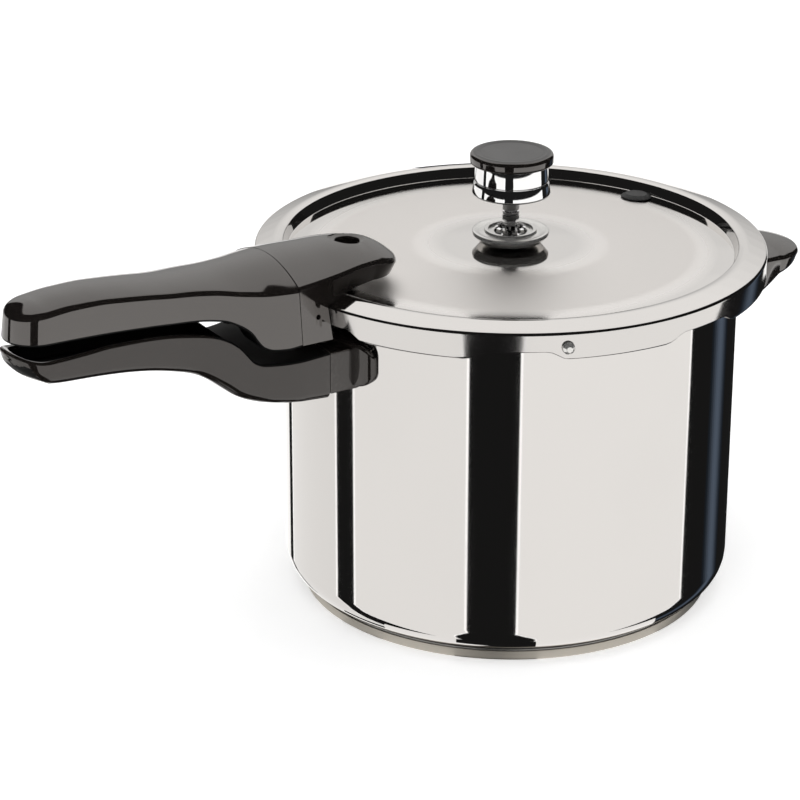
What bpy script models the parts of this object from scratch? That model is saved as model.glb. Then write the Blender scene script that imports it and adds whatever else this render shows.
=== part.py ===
"""Stovetop pressure cooker: pot, locking cover, sealing ring, pressure regulator, handles and rack.

The origin is the centre of the base's underside, on the pot's axis. +Z is up, the long handle
points along -X and the helper handle along +X. All sizes are in metres, all angles in degrees.
"""

import math

import bmesh
import bpy
from mathutils import Matrix, Vector

# ---------------------------------------------------------------- driving dimensions
GAP = 0.0003                    # clearance between neighbouring parts

POT_RADIUS = 0.1086             # outside of the pot wall
POT_WALL = 0.0010
POT_CORNER = 0.0150             # outside radius where the wall meets the bottom
POT_FLOOR = 0.0055              # underside of the pot bottom
RIM_TOP = 0.1660                # top of the pot's flange
RIM_RADIUS = 0.1175             # outer edge of the flange at its lugs
RIM_DROP = 0.0045               # height of the flange's turned-down lip
RIM_NOTCH_RADIUS = 0.1118       # edge of the flange between the lugs

BASE_RADIUS = 0.1000
BASE_CAP_THICKNESS = 0.0006

LUGS = 8
LUG_PITCH = 360 / LUGS
LUG_PHASE = 35.2                # angle of the first lug's centre, from +X
POT_LUG_WIDTH = 19.0
COVER_LUG_WIDTH = 20.8          # the level part of a cover lug
COVER_LUG_SWEEP = 6.6           # the S-shaped end on each side of it

COVER_RADIUS = 0.1220
PAST_COVER = 0.1260             # how far out the lug cutters reach
COVER_SHEET = 0.0009
DOME_TOP = 0.1720               # centre of the cover's dome
DOME_RADIUS = 0.1062            # where the dome meets the steep wall
DOME_EDGE = 0.1695
FLANGE_INNER = 0.1085
FLANGE_TOP = 0.1745             # cover flange at its inner edge
FLANGE_EDGE = 0.1722            # cover flange at its outer edge
SKIRT_BOTTOM = 0.1634           # skirt edge between the lugs
LUG_BOTTOM = 0.1591             # skirt edge at the lugs
LUG_REACH = 0.1130              # how far in the cover's lugs are turned

SEAM_X = -0.1335                # joint between the cover handle and its front piece
HANDLE_TIP_CENTRE = -0.2494
HANDLE_TIP_RADIUS = 0.0148
HANDLE_ROOT_HALF_WIDTH = 0.0325
BODY_SEAM_X = -0.1195           # joint between the body handle and its guard

VENT_STEM_RADIUS = 0.0040
WEIGHT_BOTTOM = 0.1968
WEIGHT_TOP = 0.2118
WEIGHT_TOP_RADIUS = 0.0171
WEIGHT_BOTTOM_RADIUS = 0.01875
CAP_TOP = 0.2175
CAP_RADIUS = 0.0199

PLUG_ANGLE = 16.5
PLUG_ORBIT = 0.0985
RIVET_ANGLE = 248.3
LOCK_X = -0.0908
LOCK_RADIUS = 0.0030

RACK_RADIUS = 0.0915
RACK_HEIGHT = 0.0135
STEPS = 64                      # sides of the large turned parts

STAINLESS = ((0.78, 0.77, 0.75), 0.12, 1.0)
BRUSHED = ((0.66, 0.65, 0.62), 0.34, 1.0)
ALUMINIUM = ((0.74, 0.74, 0.73), 0.38, 1.0)
CHROME = ((0.82, 0.82, 0.82), 0.06, 1.0)
ZINC = ((0.60, 0.61, 0.62), 0.30, 1.0)
PHENOLIC = ((0.016, 0.014, 0.013), 0.16, 0.0)
RUBBER = ((0.022, 0.022, 0.022), 0.62, 0.0)


# ---------------------------------------------------------------- small helpers
def clear_scene():
    for obj in list(bpy.data.objects):
        bpy.data.objects.remove(obj, do_unlink=True)


def principled(name, finish):
    colour, roughness, metallic = finish
    material = bpy.data.materials.new(name)
    material.use_nodes = True
    shader = material.node_tree.nodes["Principled BSDF"]
    shader.inputs["Base Color"].default_value = (*colour, 1)
    shader.inputs["Roughness"].default_value = roughness
    shader.inputs["Metallic"].default_value = metallic
    return material


def empty(name, location, parent=None):
    obj = bpy.data.objects.new(name, None)
    bpy.context.scene.collection.objects.link(obj)
    obj.parent = parent
    obj.location = location
    return obj


def cutter_collection():
    collection = bpy.data.collections.get("cutters")
    if collection is None:
        collection = bpy.data.collections.new("cutters")
        bpy.context.scene.collection.children.link(collection)
    return collection


def add_mesh(name, bm, finish, parent):
    """Turn a bmesh in world coordinates into a named part under its parent empty."""
    bmesh.ops.recalc_face_normals(bm, faces=bm.faces)
    mesh = bpy.data.meshes.new(name)
    bm.transform(Matrix.Translation(-world_origin(parent)))
    bm.to_mesh(mesh)
    bm.free()
    obj = bpy.data.objects.new(name, mesh)
    if finish is None:
        cutter_collection().objects.link(obj)
        obj.hide_render = True
        obj.display_type = "WIRE"
    else:
        bpy.context.scene.collection.objects.link(obj)
        mesh.materials.append(principled(name, finish))
    obj.parent = parent
    return obj


def world_origin(obj):
    """World position of an empty that is only moved, never turned."""
    place = Vector()
    while obj is not None:
        place += obj.location
        obj = obj.parent
    return place


def cut(obj, cutter, operation="DIFFERENCE"):
    modifier = obj.modifiers.new(f"{operation.lower()} {cutter.name}", "BOOLEAN")
    modifier.object = cutter
    modifier.operation = operation
    modifier.solver = "EXACT"


def arc(centre, radius, start, end, count):
    """Points on an arc in the (radius, height) plane, both ends included."""
    turns = [math.radians(start + (end - start) * i / (count - 1)) for i in range(count)]
    return [(centre[0] + radius * math.cos(t), centre[1] + radius * math.sin(t)) for t in turns]


def polar(radius, degrees, height):
    turn = math.radians(degrees)
    return Vector((radius * math.cos(turn), radius * math.sin(turn), height))


def turned(name, profile, finish, parent, steps=STEPS, closed=False, centre=(0, 0), tilt=None):
    """Turn an (r, z) profile about a vertical axis with a Screw modifier."""
    mesh = bpy.data.meshes.new(name)
    verts = [(r, 0, z) for r, z in profile]
    edges = [(i, i + 1) for i in range(len(verts) - 1)]
    if closed:
        edges.append((len(verts) - 1, 0))
    mesh.from_pydata(verts, edges, [])
    obj = bpy.data.objects.new(name, mesh)
    if finish is None:
        cutter_collection().objects.link(obj)
        obj.hide_render = True
        obj.display_type = "WIRE"
    else:
        bpy.context.scene.collection.objects.link(obj)
        mesh.materials.append(principled(name, finish))
    screw = obj.modifiers.new("turn", "SCREW")
    screw.axis = "Z"
    screw.angle = math.tau
    screw.steps = steps
    screw.render_steps = steps
    screw.use_merge_vertices = True
    screw.merge_threshold = 0.00001
    obj.parent = parent
    obj.location = Vector((centre[0], centre[1], 0)) - world_origin(parent)
    if tilt is not None:
        pivot, direction = tilt
        obj.location = Vector(pivot) - world_origin(parent)
        obj.rotation_euler = direction.to_track_quat("Z", "Y").to_euler()
    return obj


def cylinder(name, radius, low, high, centre, finish=None, parent=None, segments=24):
    bm = bmesh.new()
    bmesh.ops.create_cone(bm, cap_ends=True, segments=segments, radius1=radius, radius2=radius,
                          depth=high - low)
    bm.transform(Matrix.Translation((centre[0], centre[1], (low + high) / 2)))
    return add_mesh(name, bm, finish, parent)


def block(name, low, high, finish=None, parent=None):
    bm = bmesh.new()
    bmesh.ops.create_cube(bm, size=1)
    size = [high[i] - low[i] for i in range(3)]
    middle = [(high[i] + low[i]) / 2 for i in range(3)]
    bm.transform(Matrix.Translation(middle) @ Matrix.Diagonal((*size, 1)))
    return add_mesh(name, bm, finish, parent)


def add_sector(bm, sections):
    """Close a strip of a cylinder wall from (angle, inner, outer, low, high) sections."""
    loops = []
    for angle, inner, outer, low, high in sections:
        corners = [(inner, low), (outer, low), (outer, high), (inner, high)]
        loops.append([bm.verts.new(polar(r, angle, z)) for r, z in corners])
    for a, b in zip(loops, loops[1:]):
        for i in range(4):
            j = (i + 1) % 4
            bm.faces.new((a[i], a[j], b[j], b[i]))
    bm.faces.new(loops[0])
    bm.faces.new(reversed(loops[-1]))


def curved_strip(name, centre, half_angle, low, high, inner, outer, finish=None, parent=None,
                 columns=8):
    """A closed strip of a cylinder wall between two radii."""
    bm = bmesh.new()
    add_sector(bm, [(a, inner, outer, low, high)
                    for a in spread(centre - half_angle, centre + half_angle, columns + 1)])
    return add_mesh(name, bm, finish, parent)


def curve_through(*points):
    """Smooth curve through (position, value) points that never overshoots them."""
    xs = [p[0] for p in points]
    ys = [p[1] for p in points]
    chords = [(ys[i + 1] - ys[i]) / (xs[i + 1] - xs[i]) for i in range(len(xs) - 1)]
    slopes = [chords[0]] + [0.0] * (len(xs) - 2) + [chords[-1]]
    for i in range(1, len(xs) - 1):
        if chords[i - 1] * chords[i] > 0:
            slopes[i] = 2 * chords[i - 1] * chords[i] / (chords[i - 1] + chords[i])

    def value(x):
        if x <= xs[0]:
            return ys[0]
        if x >= xs[-1]:
            return ys[-1]
        i = max(k for k in range(len(xs) - 1) if xs[k] <= x)
        span = xs[i + 1] - xs[i]
        t = (x - xs[i]) / span
        return ((1 + 2 * t) * (1 - t) ** 2 * ys[i] + t * (1 - t) ** 2 * span * slopes[i]
                + t * t * (3 - 2 * t) * ys[i + 1] + t * t * (t - 1) * span * slopes[i + 1])

    return value


def rounded_cap(reach, ridge, edge, radius, crown_steps=4, round_steps=3):
    """Half a section from the middle to the side: a gentle crown that rolls over into the side."""
    middle, height = reach - radius, edge - radius
    lean = 0.0
    for _ in range(4):
        end = (middle + radius * math.sin(lean), height + radius * math.cos(lean))
        lean = math.atan2(2 * (ridge - end[1]), end[0])
    end = (middle + radius * math.sin(lean), height + radius * math.cos(lean))
    points = [(end[0] * i / crown_steps, ridge - (ridge - end[1]) * (i / crown_steps) ** 2)
              for i in range(crown_steps + 1)]
    for i in range(1, round_steps + 1):
        t = lean + (math.pi / 2 - lean) * i / round_steps
        points.append((middle + radius * math.sin(t), height + radius * math.cos(t)))
    return points


def grip(name, stations, tip, half_width, section, finish, parent, tip_steps=10):
    """A handle with a rounded plan end: rings of a changing section along its middle line.

    stations are x values from the root to the centre of the rounded end, tip is the end's
    length with its sign, half_width(x) is the plan and section(x, reach, swing) gives the half
    section from the middle of the top round to the middle of the bottom. swing runs from 0 on
    the straight sides to 1 at the tip.
    """
    bm = bmesh.new()
    centre = stations[-1]
    end_half = half_width(centre)
    spokes = [(x, Vector((0, -1, 0)), half_width(x), 0.0) for x in stations]
    for i in range(1, tip_steps):
        turn = math.pi * i / tip_steps
        out = Vector((tip * math.sin(turn), -end_half * math.cos(turn), 0))
        spokes.append((centre, out.normalized(), out.length, math.sin(turn)))
    spokes += [(x, Vector((0, 1, 0)), half_width(x), 0.0) for x in reversed(stations)]
    rings = []
    for x, direction, reach, swing in spokes:
        ring = section(x, reach, swing)
        rings.append([bm.verts.new(Vector((x, 0, z)) + direction * r) for r, z in ring])
    for a, b in zip(rings, rings[1:]):
        for i in range(len(a) - 1):
            bm.faces.new((a[i], a[i + 1], b[i + 1], b[i]))
    bm.faces.new(rings[0] + rings[-1][::-1])
    bmesh.ops.remove_doubles(bm, verts=bm.verts, dist=0.000001)
    return add_mesh(name, bm, finish, parent)


def spread(start, end, count):
    return [start + (end - start) * i / (count - 1) for i in range(count)]


def screw_part(name, head_radius, head_height, shank_radius, length, head_centre, finish, parent,
               direction=(0, 0, 1)):
    """A round-headed screw; head_centre is the outer face of its head."""
    profile = [(0, length), (shank_radius * 0.6, length), (shank_radius, length - 0.0008),
               (shank_radius, head_height), (head_radius, head_height),
               (head_radius, 0.0007), (head_radius * 0.75, 0.0), (0, 0.0)]
    return turned(name, profile, finish, parent, steps=20, tilt=(head_centre, Vector(direction)))


# ---------------------------------------------------------------- pot
def make_pot(body):
    inner = POT_RADIUS - POT_WALL
    floor = POT_FLOOR + POT_WALL
    inside = arc((inner - POT_CORNER + POT_WALL, floor + POT_CORNER - POT_WALL),
                 POT_CORNER - POT_WALL, -90, 0, 8)
    outside = arc((POT_RADIUS - POT_CORNER, POT_FLOOR + POT_CORNER), POT_CORNER, 0, -90, 8)
    rim = [(inner, RIM_TOP - 0.0010), (inner + 0.0010, RIM_TOP), (RIM_RADIUS - 0.0010, RIM_TOP),
           (RIM_RADIUS, RIM_TOP - 0.0010), (RIM_RADIUS, RIM_TOP - RIM_DROP),
           (RIM_RADIUS - POT_WALL, RIM_TOP - RIM_DROP),
           (RIM_RADIUS - POT_WALL, RIM_TOP - POT_WALL - 0.0005),
           (RIM_RADIUS - POT_WALL - 0.0005, RIM_TOP - POT_WALL),
           (POT_RADIUS + 0.0015, RIM_TOP - POT_WALL),
           (POT_RADIUS, RIM_TOP - POT_WALL - 0.0015)]
    profile = [(0, floor)] + inside + rim + outside + [(0, POT_FLOOR)]
    pot = turned("pot_body", profile, STAINLESS, body)
    half_notch = (LUG_PITCH - POT_LUG_WIDTH) / 2
    low, high = RIM_TOP - RIM_DROP - 0.0015, RIM_TOP + 0.0020
    bm = bmesh.new()
    for k in range(LUGS):
        centre = LUG_PHASE + LUG_PITCH * (k + 0.5)
        add_sector(bm, [(a, RIM_NOTCH_RADIUS, PAST_COVER, low, high)
                        for a in spread(centre - half_notch, centre + half_notch, 8)])
    cut(pot, add_mesh("rim_notch_cutter", bm, None, None))

    top = POT_FLOOR - GAP
    core_radius = BASE_RADIUS - BASE_CAP_THICKNESS - GAP
    low = BASE_CAP_THICKNESS + GAP
    core = [(0, top), (core_radius - 0.0008, top), (core_radius, top - 0.0008),
            (core_radius, low + 0.0006), (core_radius - 0.0006, low), (0, low)]
    turned("base_core", core, ALUMINIUM, body)
    lip = top - 0.0004
    cap = [(0, BASE_CAP_THICKNESS), (core_radius - 0.0006, BASE_CAP_THICKNESS),
           (core_radius + GAP, low + 0.0006), (core_radius + GAP, lip), (BASE_RADIUS, lip),
           (BASE_RADIUS, 0.0008), (BASE_RADIUS - 0.0008, 0), (0, 0)]
    turned("base_cap", cap, BRUSHED, body)


def long_handle_half_width():
    """Plan shared by the two long handles: slim at the grip, flaring towards the pot."""
    return curve_through((HANDLE_TIP_CENTRE, HANDLE_TIP_RADIUS), (-0.2350, 0.0152),
                         (-0.2145, 0.0161), (-0.2045, 0.0166), (-0.1950, 0.0170),
                         (-0.1850, 0.0178), (-0.1710, 0.0208), (-0.1600, 0.0248),
                         (-0.1500, 0.0283), (-0.1400, 0.0312), (SEAM_X, HANDLE_ROOT_HALF_WIDTH))


def make_body_handle(body):
    width = long_handle_half_width()
    top = curve_through((-0.2560, 0.1670), (-0.2439, 0.1674), (-0.2320, 0.1682), (-0.2201, 0.1692),
                        (-0.2081, 0.1693), (-0.1960, 0.1688), (-0.1841, 0.1674), (-0.1728, 0.1656),
                        (-0.1664, 0.1632), (-0.1612, 0.1594), (-0.1581, 0.1555), (-0.1550, 0.1518),
                        (-0.1507, 0.1500), (-0.1441, 0.1497), (-0.1195, 0.1508))
    bottom = curve_through((-0.2560, 0.1572), (-0.2490, 0.1554), (-0.2430, 0.1548),
                           (-0.2265, 0.1543), (-0.2145, 0.1536), (-0.2025, 0.1522),
                           (-0.1899, 0.1496), (-0.1802, 0.1468), (-0.1734, 0.1432),
                           (-0.1669, 0.1382), (-0.1617, 0.1342), (-0.1566, 0.1318),
                           (-0.1488, 0.1298), (-0.1376, 0.1284), (-0.1195, 0.1272))

    def section(x, reach, swing):
        lip = 0.0045 * swing ** 2
        upper = rounded_cap(reach, top(x) - 0.0006, top(x) + lip, 0.0011)
        roll = 0.0048 + 0.0024 * swing
        lower = rounded_cap(reach - 0.0008 * swing, -bottom(x) + 0.0004 - 0.0008 * swing,
                            -bottom(x) - 0.0006 - 0.0056 * swing, roll)
        return upper + [(r, -z) for r, z in reversed(lower)]

    stations = (spread(BODY_SEAM_X, -0.1440, 4) + spread(-0.1480, -0.1780, 12)
                + spread(-0.1860, HANDLE_TIP_CENTRE, 9))
    handle = grip("body_handle", stations, -HANDLE_TIP_RADIUS - 0.0014,
                  width, section, PHENOLIC, body)
    pocket = block("body_bracket_pocket", (-0.1610, -0.0115, 0.1388), (-0.1150, 0.0115, 0.1426))
    cut(handle, pocket)
    for name, x in (("front", -0.1330), ("rear", -0.1520)):
        bore = cylinder(f"body_screw_{name}_bore", 0.0020, 0.1330, 0.1470, (x, 0))
        recess = cylinder(f"body_screw_{name}_recess", 0.0042, 0.1200, 0.1350, (x, 0))
        cut(handle, bore)
        cut(handle, recess)


def make_body_handle_guard(body):
    low, high = 0.1306, 0.1508
    half = HANDLE_ROOT_HALF_WIDTH
    bm = bmesh.new()
    bmesh.ops.create_cube(bm, size=1)
    bm.transform(Matrix.Translation(((BODY_SEAM_X + GAP - 0.1000) / 2, 0, (low + high) / 2))
                 @ Matrix.Diagonal((-0.1000 - BODY_SEAM_X - GAP, 2 * half, high - low, 1)))
    upright = [e for e in bm.edges
               if abs(e.verts[0].co.z - e.verts[1].co.z) > 0.01 and e.verts[0].co.x > -0.11]
    bmesh.ops.bevel(bm, geom=upright, offset=0.0060, segments=4, profile=0.5, affect="EDGES")
    guard = add_mesh("body_handle_guard", bm, PHENOLIC, body)
    flange = curved_strip("guard_flange", 180, 22.6, 0.1325, 0.1535, POT_RADIUS - 0.0030, 0.1130)
    cut(guard, flange, "UNION")
    wall = turned("guard_wall_clearance",
                  [(0, 0.1600), (POT_RADIUS + GAP, 0.1600), (POT_RADIUS + GAP, 0.1200), (0, 0.1200)],
                  None, None)
    cut(guard, wall)
    plate_space = curved_strip("bracket_plate_space", 180, 9.6, 0.1340, 0.1478,
                               POT_RADIUS - 0.0020, POT_RADIUS + 0.0025)
    cut(guard, plate_space)
    cut(guard, block("guard_tongue_slot", (-0.1250, -0.0114, 0.1389), (-0.1050, 0.0114, 0.1425)))


def make_body_bracket(body):
    inner = POT_RADIUS + GAP
    tongue = block("body_handle_bracket", (-0.1600, -0.0110, 0.1392), (-0.1095, 0.0110, 0.1422),
                   ZINC, body)
    plate = curved_strip("bracket_plate", 180, 9.2, 0.1344, 0.1474, inner, POT_RADIUS + 0.0022)
    cut(tongue, plate, "UNION")
    for name, x in (("front", -0.1330), ("rear", -0.1520)):
        cut(tongue, cylinder(f"body_bracket_{name}_hole", 0.0020, 0.1370, 0.1440, (x, 0)))
        screw_part(f"body_handle_screw_{name}", 0.0036, 0.0022, 0.0016, 0.0130,
                   (x, 0, 0.1326), ZINC, body)


def make_locking_bracket(body):
    low = 0.1538
    base = block("locking_bracket", (-0.1185, -0.0110, low), (-0.1105, 0.0110, low + 0.0012),
                 ZINC, body)
    leg = curved_strip("locking_leg", 180, 5.5, low, low + 0.0022, POT_RADIUS + GAP,
                       POT_RADIUS + 0.0040, columns=6)
    cut(base, leg, "UNION")


def make_helper(body):
    width = curve_through((0.1120, 0.0290), (0.1300, 0.0275), (0.1480, 0.0240))
    top = curve_through((0.1120, 0.1490), (0.1400, 0.1460), (0.1480, 0.1450))
    bottom = curve_through((0.1120, 0.1190), (0.1400, 0.1305), (0.1480, 0.1345), (0.1600, 0.1385))

    def section(x, reach, swing):
        upper = rounded_cap(reach, top(x) + 0.0032, top(x) - 0.0006, 0.0022)
        rise = 0.0052 * swing
        lower = rounded_cap(reach - 0.0010, -bottom(x) - 0.4 * rise, -bottom(x) - rise, 0.0024)
        return upper + [(r, -z) for r, z in reversed(lower)]

    handle = grip("helper_handle", spread(0.1122, 0.1480, 7), 0.0215, width, section,
                  PHENOLIC, body)
    wall = turned("helper_wall_clearance",
                  [(0, 0.1700), (POT_RADIUS + 0.0028, 0.1700), (POT_RADIUS + 0.0028, 0.1000),
                   (0, 0.1000)], None, None)
    cut(handle, wall)
    plate_low, plate_high = 0.1235, 0.1455
    curved_strip("helper_bracket", 0, 11.0, plate_low, plate_high, POT_RADIUS + GAP,
                 POT_RADIUS + 0.0023, ZINC, body)
    for name, side in (("left", 1), ("right", -1)):
        angle = 7.0 * side
        out = polar(1, angle, 0)
        start = polar(POT_RADIUS + 0.0026, angle, 0.1360)
        bore = turned(f"helper_{name}_bore", [(0, 0.0160), (0.0022, 0.0160), (0.0022, -0.0060),
                                               (0, -0.0060)], None, None, steps=20,
                      tilt=(start, out))
        cut(handle, bore)
        stud = [(0, 0.0140), (0.0012, 0.0140), (0.0019, 0.0130), (0.0019, 0.0), (0, 0.0)]
        turned(f"helper_screw_{name}", stud, ZINC, body, steps=20, tilt=(start, out))


def make_rack(rack):
    top = POT_FLOOR + POT_WALL + GAP + RACK_HEIGHT
    low = POT_FLOOR + POT_WALL + GAP
    sheet = 0.0012
    profile = [(0, top), (RACK_RADIUS - 0.0020, top), (RACK_RADIUS, top - 0.0020),
               (RACK_RADIUS, low), (RACK_RADIUS - sheet, low),
               (RACK_RADIUS - sheet, top - sheet - 0.0012),
               (RACK_RADIUS - sheet - 0.0012, top - sheet), (0, top - sheet)]
    disc = turned("cooking_rack", profile, ALUMINIUM, rack, steps=48)
    bm = bmesh.new()
    for ring, count in ((0.0, 1), (0.0340, 6), (0.0680, 12)):
        for i in range(count):
            place = polar(ring, 360 * i / count, top)
            bmesh.ops.create_cone(bm, cap_ends=True, segments=12, radius1=0.0060, radius2=0.0060,
                                  depth=0.006, matrix=Matrix.Translation(place))
    cut(disc, add_mesh("rack_hole_cutter", bm, None, None))


# ---------------------------------------------------------------- cover
def dome_height(radius):
    return DOME_TOP - (DOME_TOP - DOME_EDGE) * (radius / DOME_RADIUS) ** 2


def cover_top_line():
    """Upper side of the cover from its centre to the edge of the skirt."""
    dome = [(r, dome_height(r)) for r in (0, 0.025, 0.050, 0.075, 0.092)]
    step = [(DOME_RADIUS - 0.0008, DOME_EDGE), (DOME_RADIUS + 0.0006, DOME_EDGE + 0.0004),
            (DOME_RADIUS + 0.0012, DOME_EDGE + 0.0014), (FLANGE_INNER - 0.0006, FLANGE_TOP - 0.0012),
            (FLANGE_INNER, FLANGE_TOP), (FLANGE_INNER + 0.0012, FLANGE_TOP + 0.0002)]
    edge = [(COVER_RADIUS - 0.0014, FLANGE_EDGE + 0.0003), (COVER_RADIUS - 0.0004, FLANGE_EDGE - 0.0004),
            (COVER_RADIUS, FLANGE_EDGE - 0.0014)]
    return dome + step + edge


def make_cover_shell(cover):
    top = cover_top_line()
    under = []
    for i, (r, z) in enumerate(top):
        ahead = top[min(i + 1, len(top) - 1)]
        behind = top[max(i - 1, 0)]
        along = Vector((ahead[0] - behind[0], ahead[1] - behind[1])).normalized()
        under.append((max(r + along.y * COVER_SHEET, 0), z - along.x * COVER_SHEET))
    under[0] = (0, top[0][1] - COVER_SHEET)
    under[-1] = (COVER_RADIUS - COVER_SHEET, top[-1][1] - 0.0004)
    lug_top = LUG_BOTTOM + 0.0012
    skirt = [(COVER_RADIUS, LUG_BOTTOM + 0.0010), (COVER_RADIUS - 0.0010, LUG_BOTTOM),
             (LUG_REACH, LUG_BOTTOM), (LUG_REACH, lug_top), (COVER_RADIUS - COVER_SHEET, lug_top)]
    shell = turned("cover_shell", top + skirt + under[::-1], STAINLESS, cover)

    half_gap = (LUG_PITCH - COVER_LUG_WIDTH) / 2
    bm = bmesh.new()
    for k in range(LUGS):
        centre = LUG_PHASE + LUG_PITCH * (k + 0.5)
        sections = []
        for t in (-1, -0.86, -0.72, -0.58, -0.46, 0, 0.46, 0.58, 0.72, 0.86, 1):
            sweep = max(0.0, 1 - (1 - abs(t)) * half_gap / COVER_LUG_SWEEP)
            ease = sweep * sweep * (3 - 2 * sweep)
            ceiling = SKIRT_BOTTOM - (SKIRT_BOTTOM - LUG_BOTTOM + GAP) * ease
            sections.append((centre + t * half_gap, LUG_REACH - 0.0020, PAST_COVER,
                             LUG_BOTTOM - 0.0050, ceiling))
        add_sector(bm, sections)
    cut(shell, add_mesh("skirt_gap_cutter", bm, None, None))
    cut(shell, cylinder("vent_hole", 0.0050, 0.1600, 0.1800, (0, 0)))
    cut(shell, cylinder("lock_hole", 0.0046, 0.1600, 0.1750, (LOCK_X, 0)))
    plug = plug_place()
    cut(shell, turned("plug_hole", [(0, 0.006), (0.0046, 0.006), (0.0046, -0.006), (0, -0.006)],
                      None, None, steps=24, tilt=plug))


def plug_place():
    """Where the overpressure plug meets the cover, and the direction out of the cover there."""
    lean = math.atan(2 * (DOME_TOP - DOME_EDGE) * PLUG_ORBIT / DOME_RADIUS ** 2)
    place = polar(PLUG_ORBIT, PLUG_ANGLE, dome_height(PLUG_ORBIT))
    out = polar(math.sin(lean), PLUG_ANGLE, math.cos(lean))
    return place, out


def make_cover_fittings(cover):
    place, out = plug_place()
    profile = [(0, 0.0024), (0.0045, 0.0023), (0.0062, 0.0017), (0.0070, 0.0008), (0.0070, 0.0004),
               (0.0042, 0.0004), (0.0042, -0.0013), (0.0064, -0.0014), (0.0064, -0.0026),
               (0.0040, -0.0042), (0, -0.0042)]
    turned("overpressure_plug", profile, RUBBER, cover, steps=32, tilt=(place, out))

    start = polar(COVER_RADIUS + GAP, RIVET_ANGLE, 0.1654)
    out = polar(1, RIVET_ANGLE, 0)
    rivet = [(0, 0.0026), (0.0012, 0.0024), (0.0023, 0.0017), (0.0030, 0.0006), (0.0030, 0), (0, 0)]
    turned("stop_rivet", rivet, CHROME, cover, steps=24, tilt=(start, out))

    hexagon = bmesh.new()
    bmesh.ops.create_cone(hexagon, cap_ends=True, segments=6, radius1=VENT_STEM_RADIUS,
                          radius2=VENT_STEM_RADIUS, depth=0.0192)
    hexagon.transform(Matrix.Translation((0, 0, 0.1866)))
    stem = add_mesh("vent_pipe", hexagon, CHROME, cover)
    pipe = turned("vent_pipe_core",
                  [(0, 0.2035), (0.0016, 0.2035), (0.0024, 0.2022), (0.0024, 0.1900),
                   (0.0030, 0.1850), (0.0030, 0.1772), (0.0056, 0.1764), (0.0056, 0.1723),
                   (0.0044, 0.1723), (0.0044, 0.1610), (0, 0.1610)], None, None, steps=24)
    cut(stem, pipe, "UNION")
    cut(stem, cylinder("vent_bore", 0.0010, 0.1580, 0.2060, (0, 0), segments=12))

    disc = [(0.0060, 0.1723), (0.0060, 0.1776), (0.0072, 0.1785), (0.0112, 0.1785),
            (0.0122, 0.1778), (0.0126, 0.1770), (0.0172, 0.1772), (0.0184, 0.1764),
            (0.0181, 0.1752), (0.0160, 0.1727), (0.0152, 0.1723)]
    turned("vent_disc", disc, BRUSHED, cover, steps=32, closed=True)
    turned("vent_gasket", [(0.0047, 0.1690), (0.0047, 0.1708), (0.0110, 0.1707), (0.0110, 0.1690)],
           RUBBER, cover, steps=32, closed=True)
    nut = bmesh.new()
    bmesh.ops.create_cone(nut, cap_ends=True, segments=6, radius1=0.0085, radius2=0.0085,
                          depth=0.0048)
    nut.transform(Matrix.Translation((0, 0, 0.1662)))
    nut_obj = add_mesh("vent_nut", nut, ZINC, cover)
    cut(nut_obj, cylinder("vent_nut_hole", 0.0047, 0.1600, 0.1720, (0, 0)))


def make_cover_handle(cover):
    width = long_handle_half_width()
    ridge = curve_through((-0.2560, 0.1912), (-0.2487, 0.1924), (-0.2390, 0.1938),
                          (-0.2269, 0.1942), (-0.2147, 0.1936), (-0.2024, 0.1924),
                          (-0.1900, 0.1911), (-0.1774, 0.1902), (-0.1647, 0.1900),
                          (-0.1519, 0.1906), (SEAM_X, 0.1919))
    crease = curve_through((-0.2560, 0.1898), (-0.2488, 0.1908), (-0.2370, 0.1920),
                           (-0.2251, 0.1922), (-0.2133, 0.1914), (-0.2014, 0.1904),
                           (-0.1894, 0.1891), (-0.1779, 0.1887), (-0.1702, 0.1884),
                           (-0.1566, 0.1866), (-0.1459, 0.1855), (SEAM_X, 0.1855))
    bottom = curve_through((-0.2560, 0.1750), (-0.2258, 0.1748), (-0.2019, 0.1740),
                           (-0.1899, 0.1733), (-0.1782, 0.1729), (-0.1673, 0.1716),
                           (-0.1611, 0.1690), (-0.1558, 0.1649), (-0.1527, 0.1600),
                           (-0.1506, 0.1575), (-0.1463, 0.1558), (-0.1407, 0.1556),
                           (SEAM_X, 0.1566))

    def section(x, reach, swing):
        upper = rounded_cap(reach - 0.0012 * swing, ridge(x) - 0.0006 * swing,
                            crease(x) - 0.0004 - 0.0008 * swing, 0.0030 + 0.0012 * swing)
        lower = rounded_cap(reach, -bottom(x), -bottom(x), 0.0012)
        return upper + [(r, -z) for r, z in reversed(lower)]

    stations = (spread(SEAM_X - GAP / 2, -0.1440, 3) + spread(-0.1480, -0.1780, 12)
                + spread(-0.1860, HANDLE_TIP_CENTRE, 9))
    handle = grip("cover_handle", stations, -HANDLE_TIP_RADIUS, width, section, PHENOLIC, cover)
    channel = block("cover_handle_channel", (-0.2000, -0.0120, 0.1500), (-0.1300, 0.0120, 0.1826))
    cut(handle, channel)
    for name, x in (("front", -0.1500), ("rear", -0.1880)):
        cut(handle, cylinder(f"cover_screw_{name}_bore", 0.0020, 0.1800, 0.1888, (x, 0)))

    bracket = block("cover_handle_bracket", (-0.1990, -0.0110, 0.1798), (-0.1090, 0.0110, 0.1820),
                    ZINC, cover)
    foot = block("cover_bracket_foot", (-0.1190, -0.0110, 0.1751), (-0.1095, 0.0110, 0.1810))
    cut(bracket, foot, "UNION")
    for name, x in (("front", -0.1500), ("rear", -0.1880)):
        cut(bracket, cylinder(f"cover_bracket_{name}_hole", 0.0020, 0.1780, 0.1840, (x, 0)))
        screw_part(f"cover_handle_screw_{name}", 0.0036, 0.0022, 0.0016, 0.0112,
                   (x, 0, 0.1773), ZINC, cover)


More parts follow.
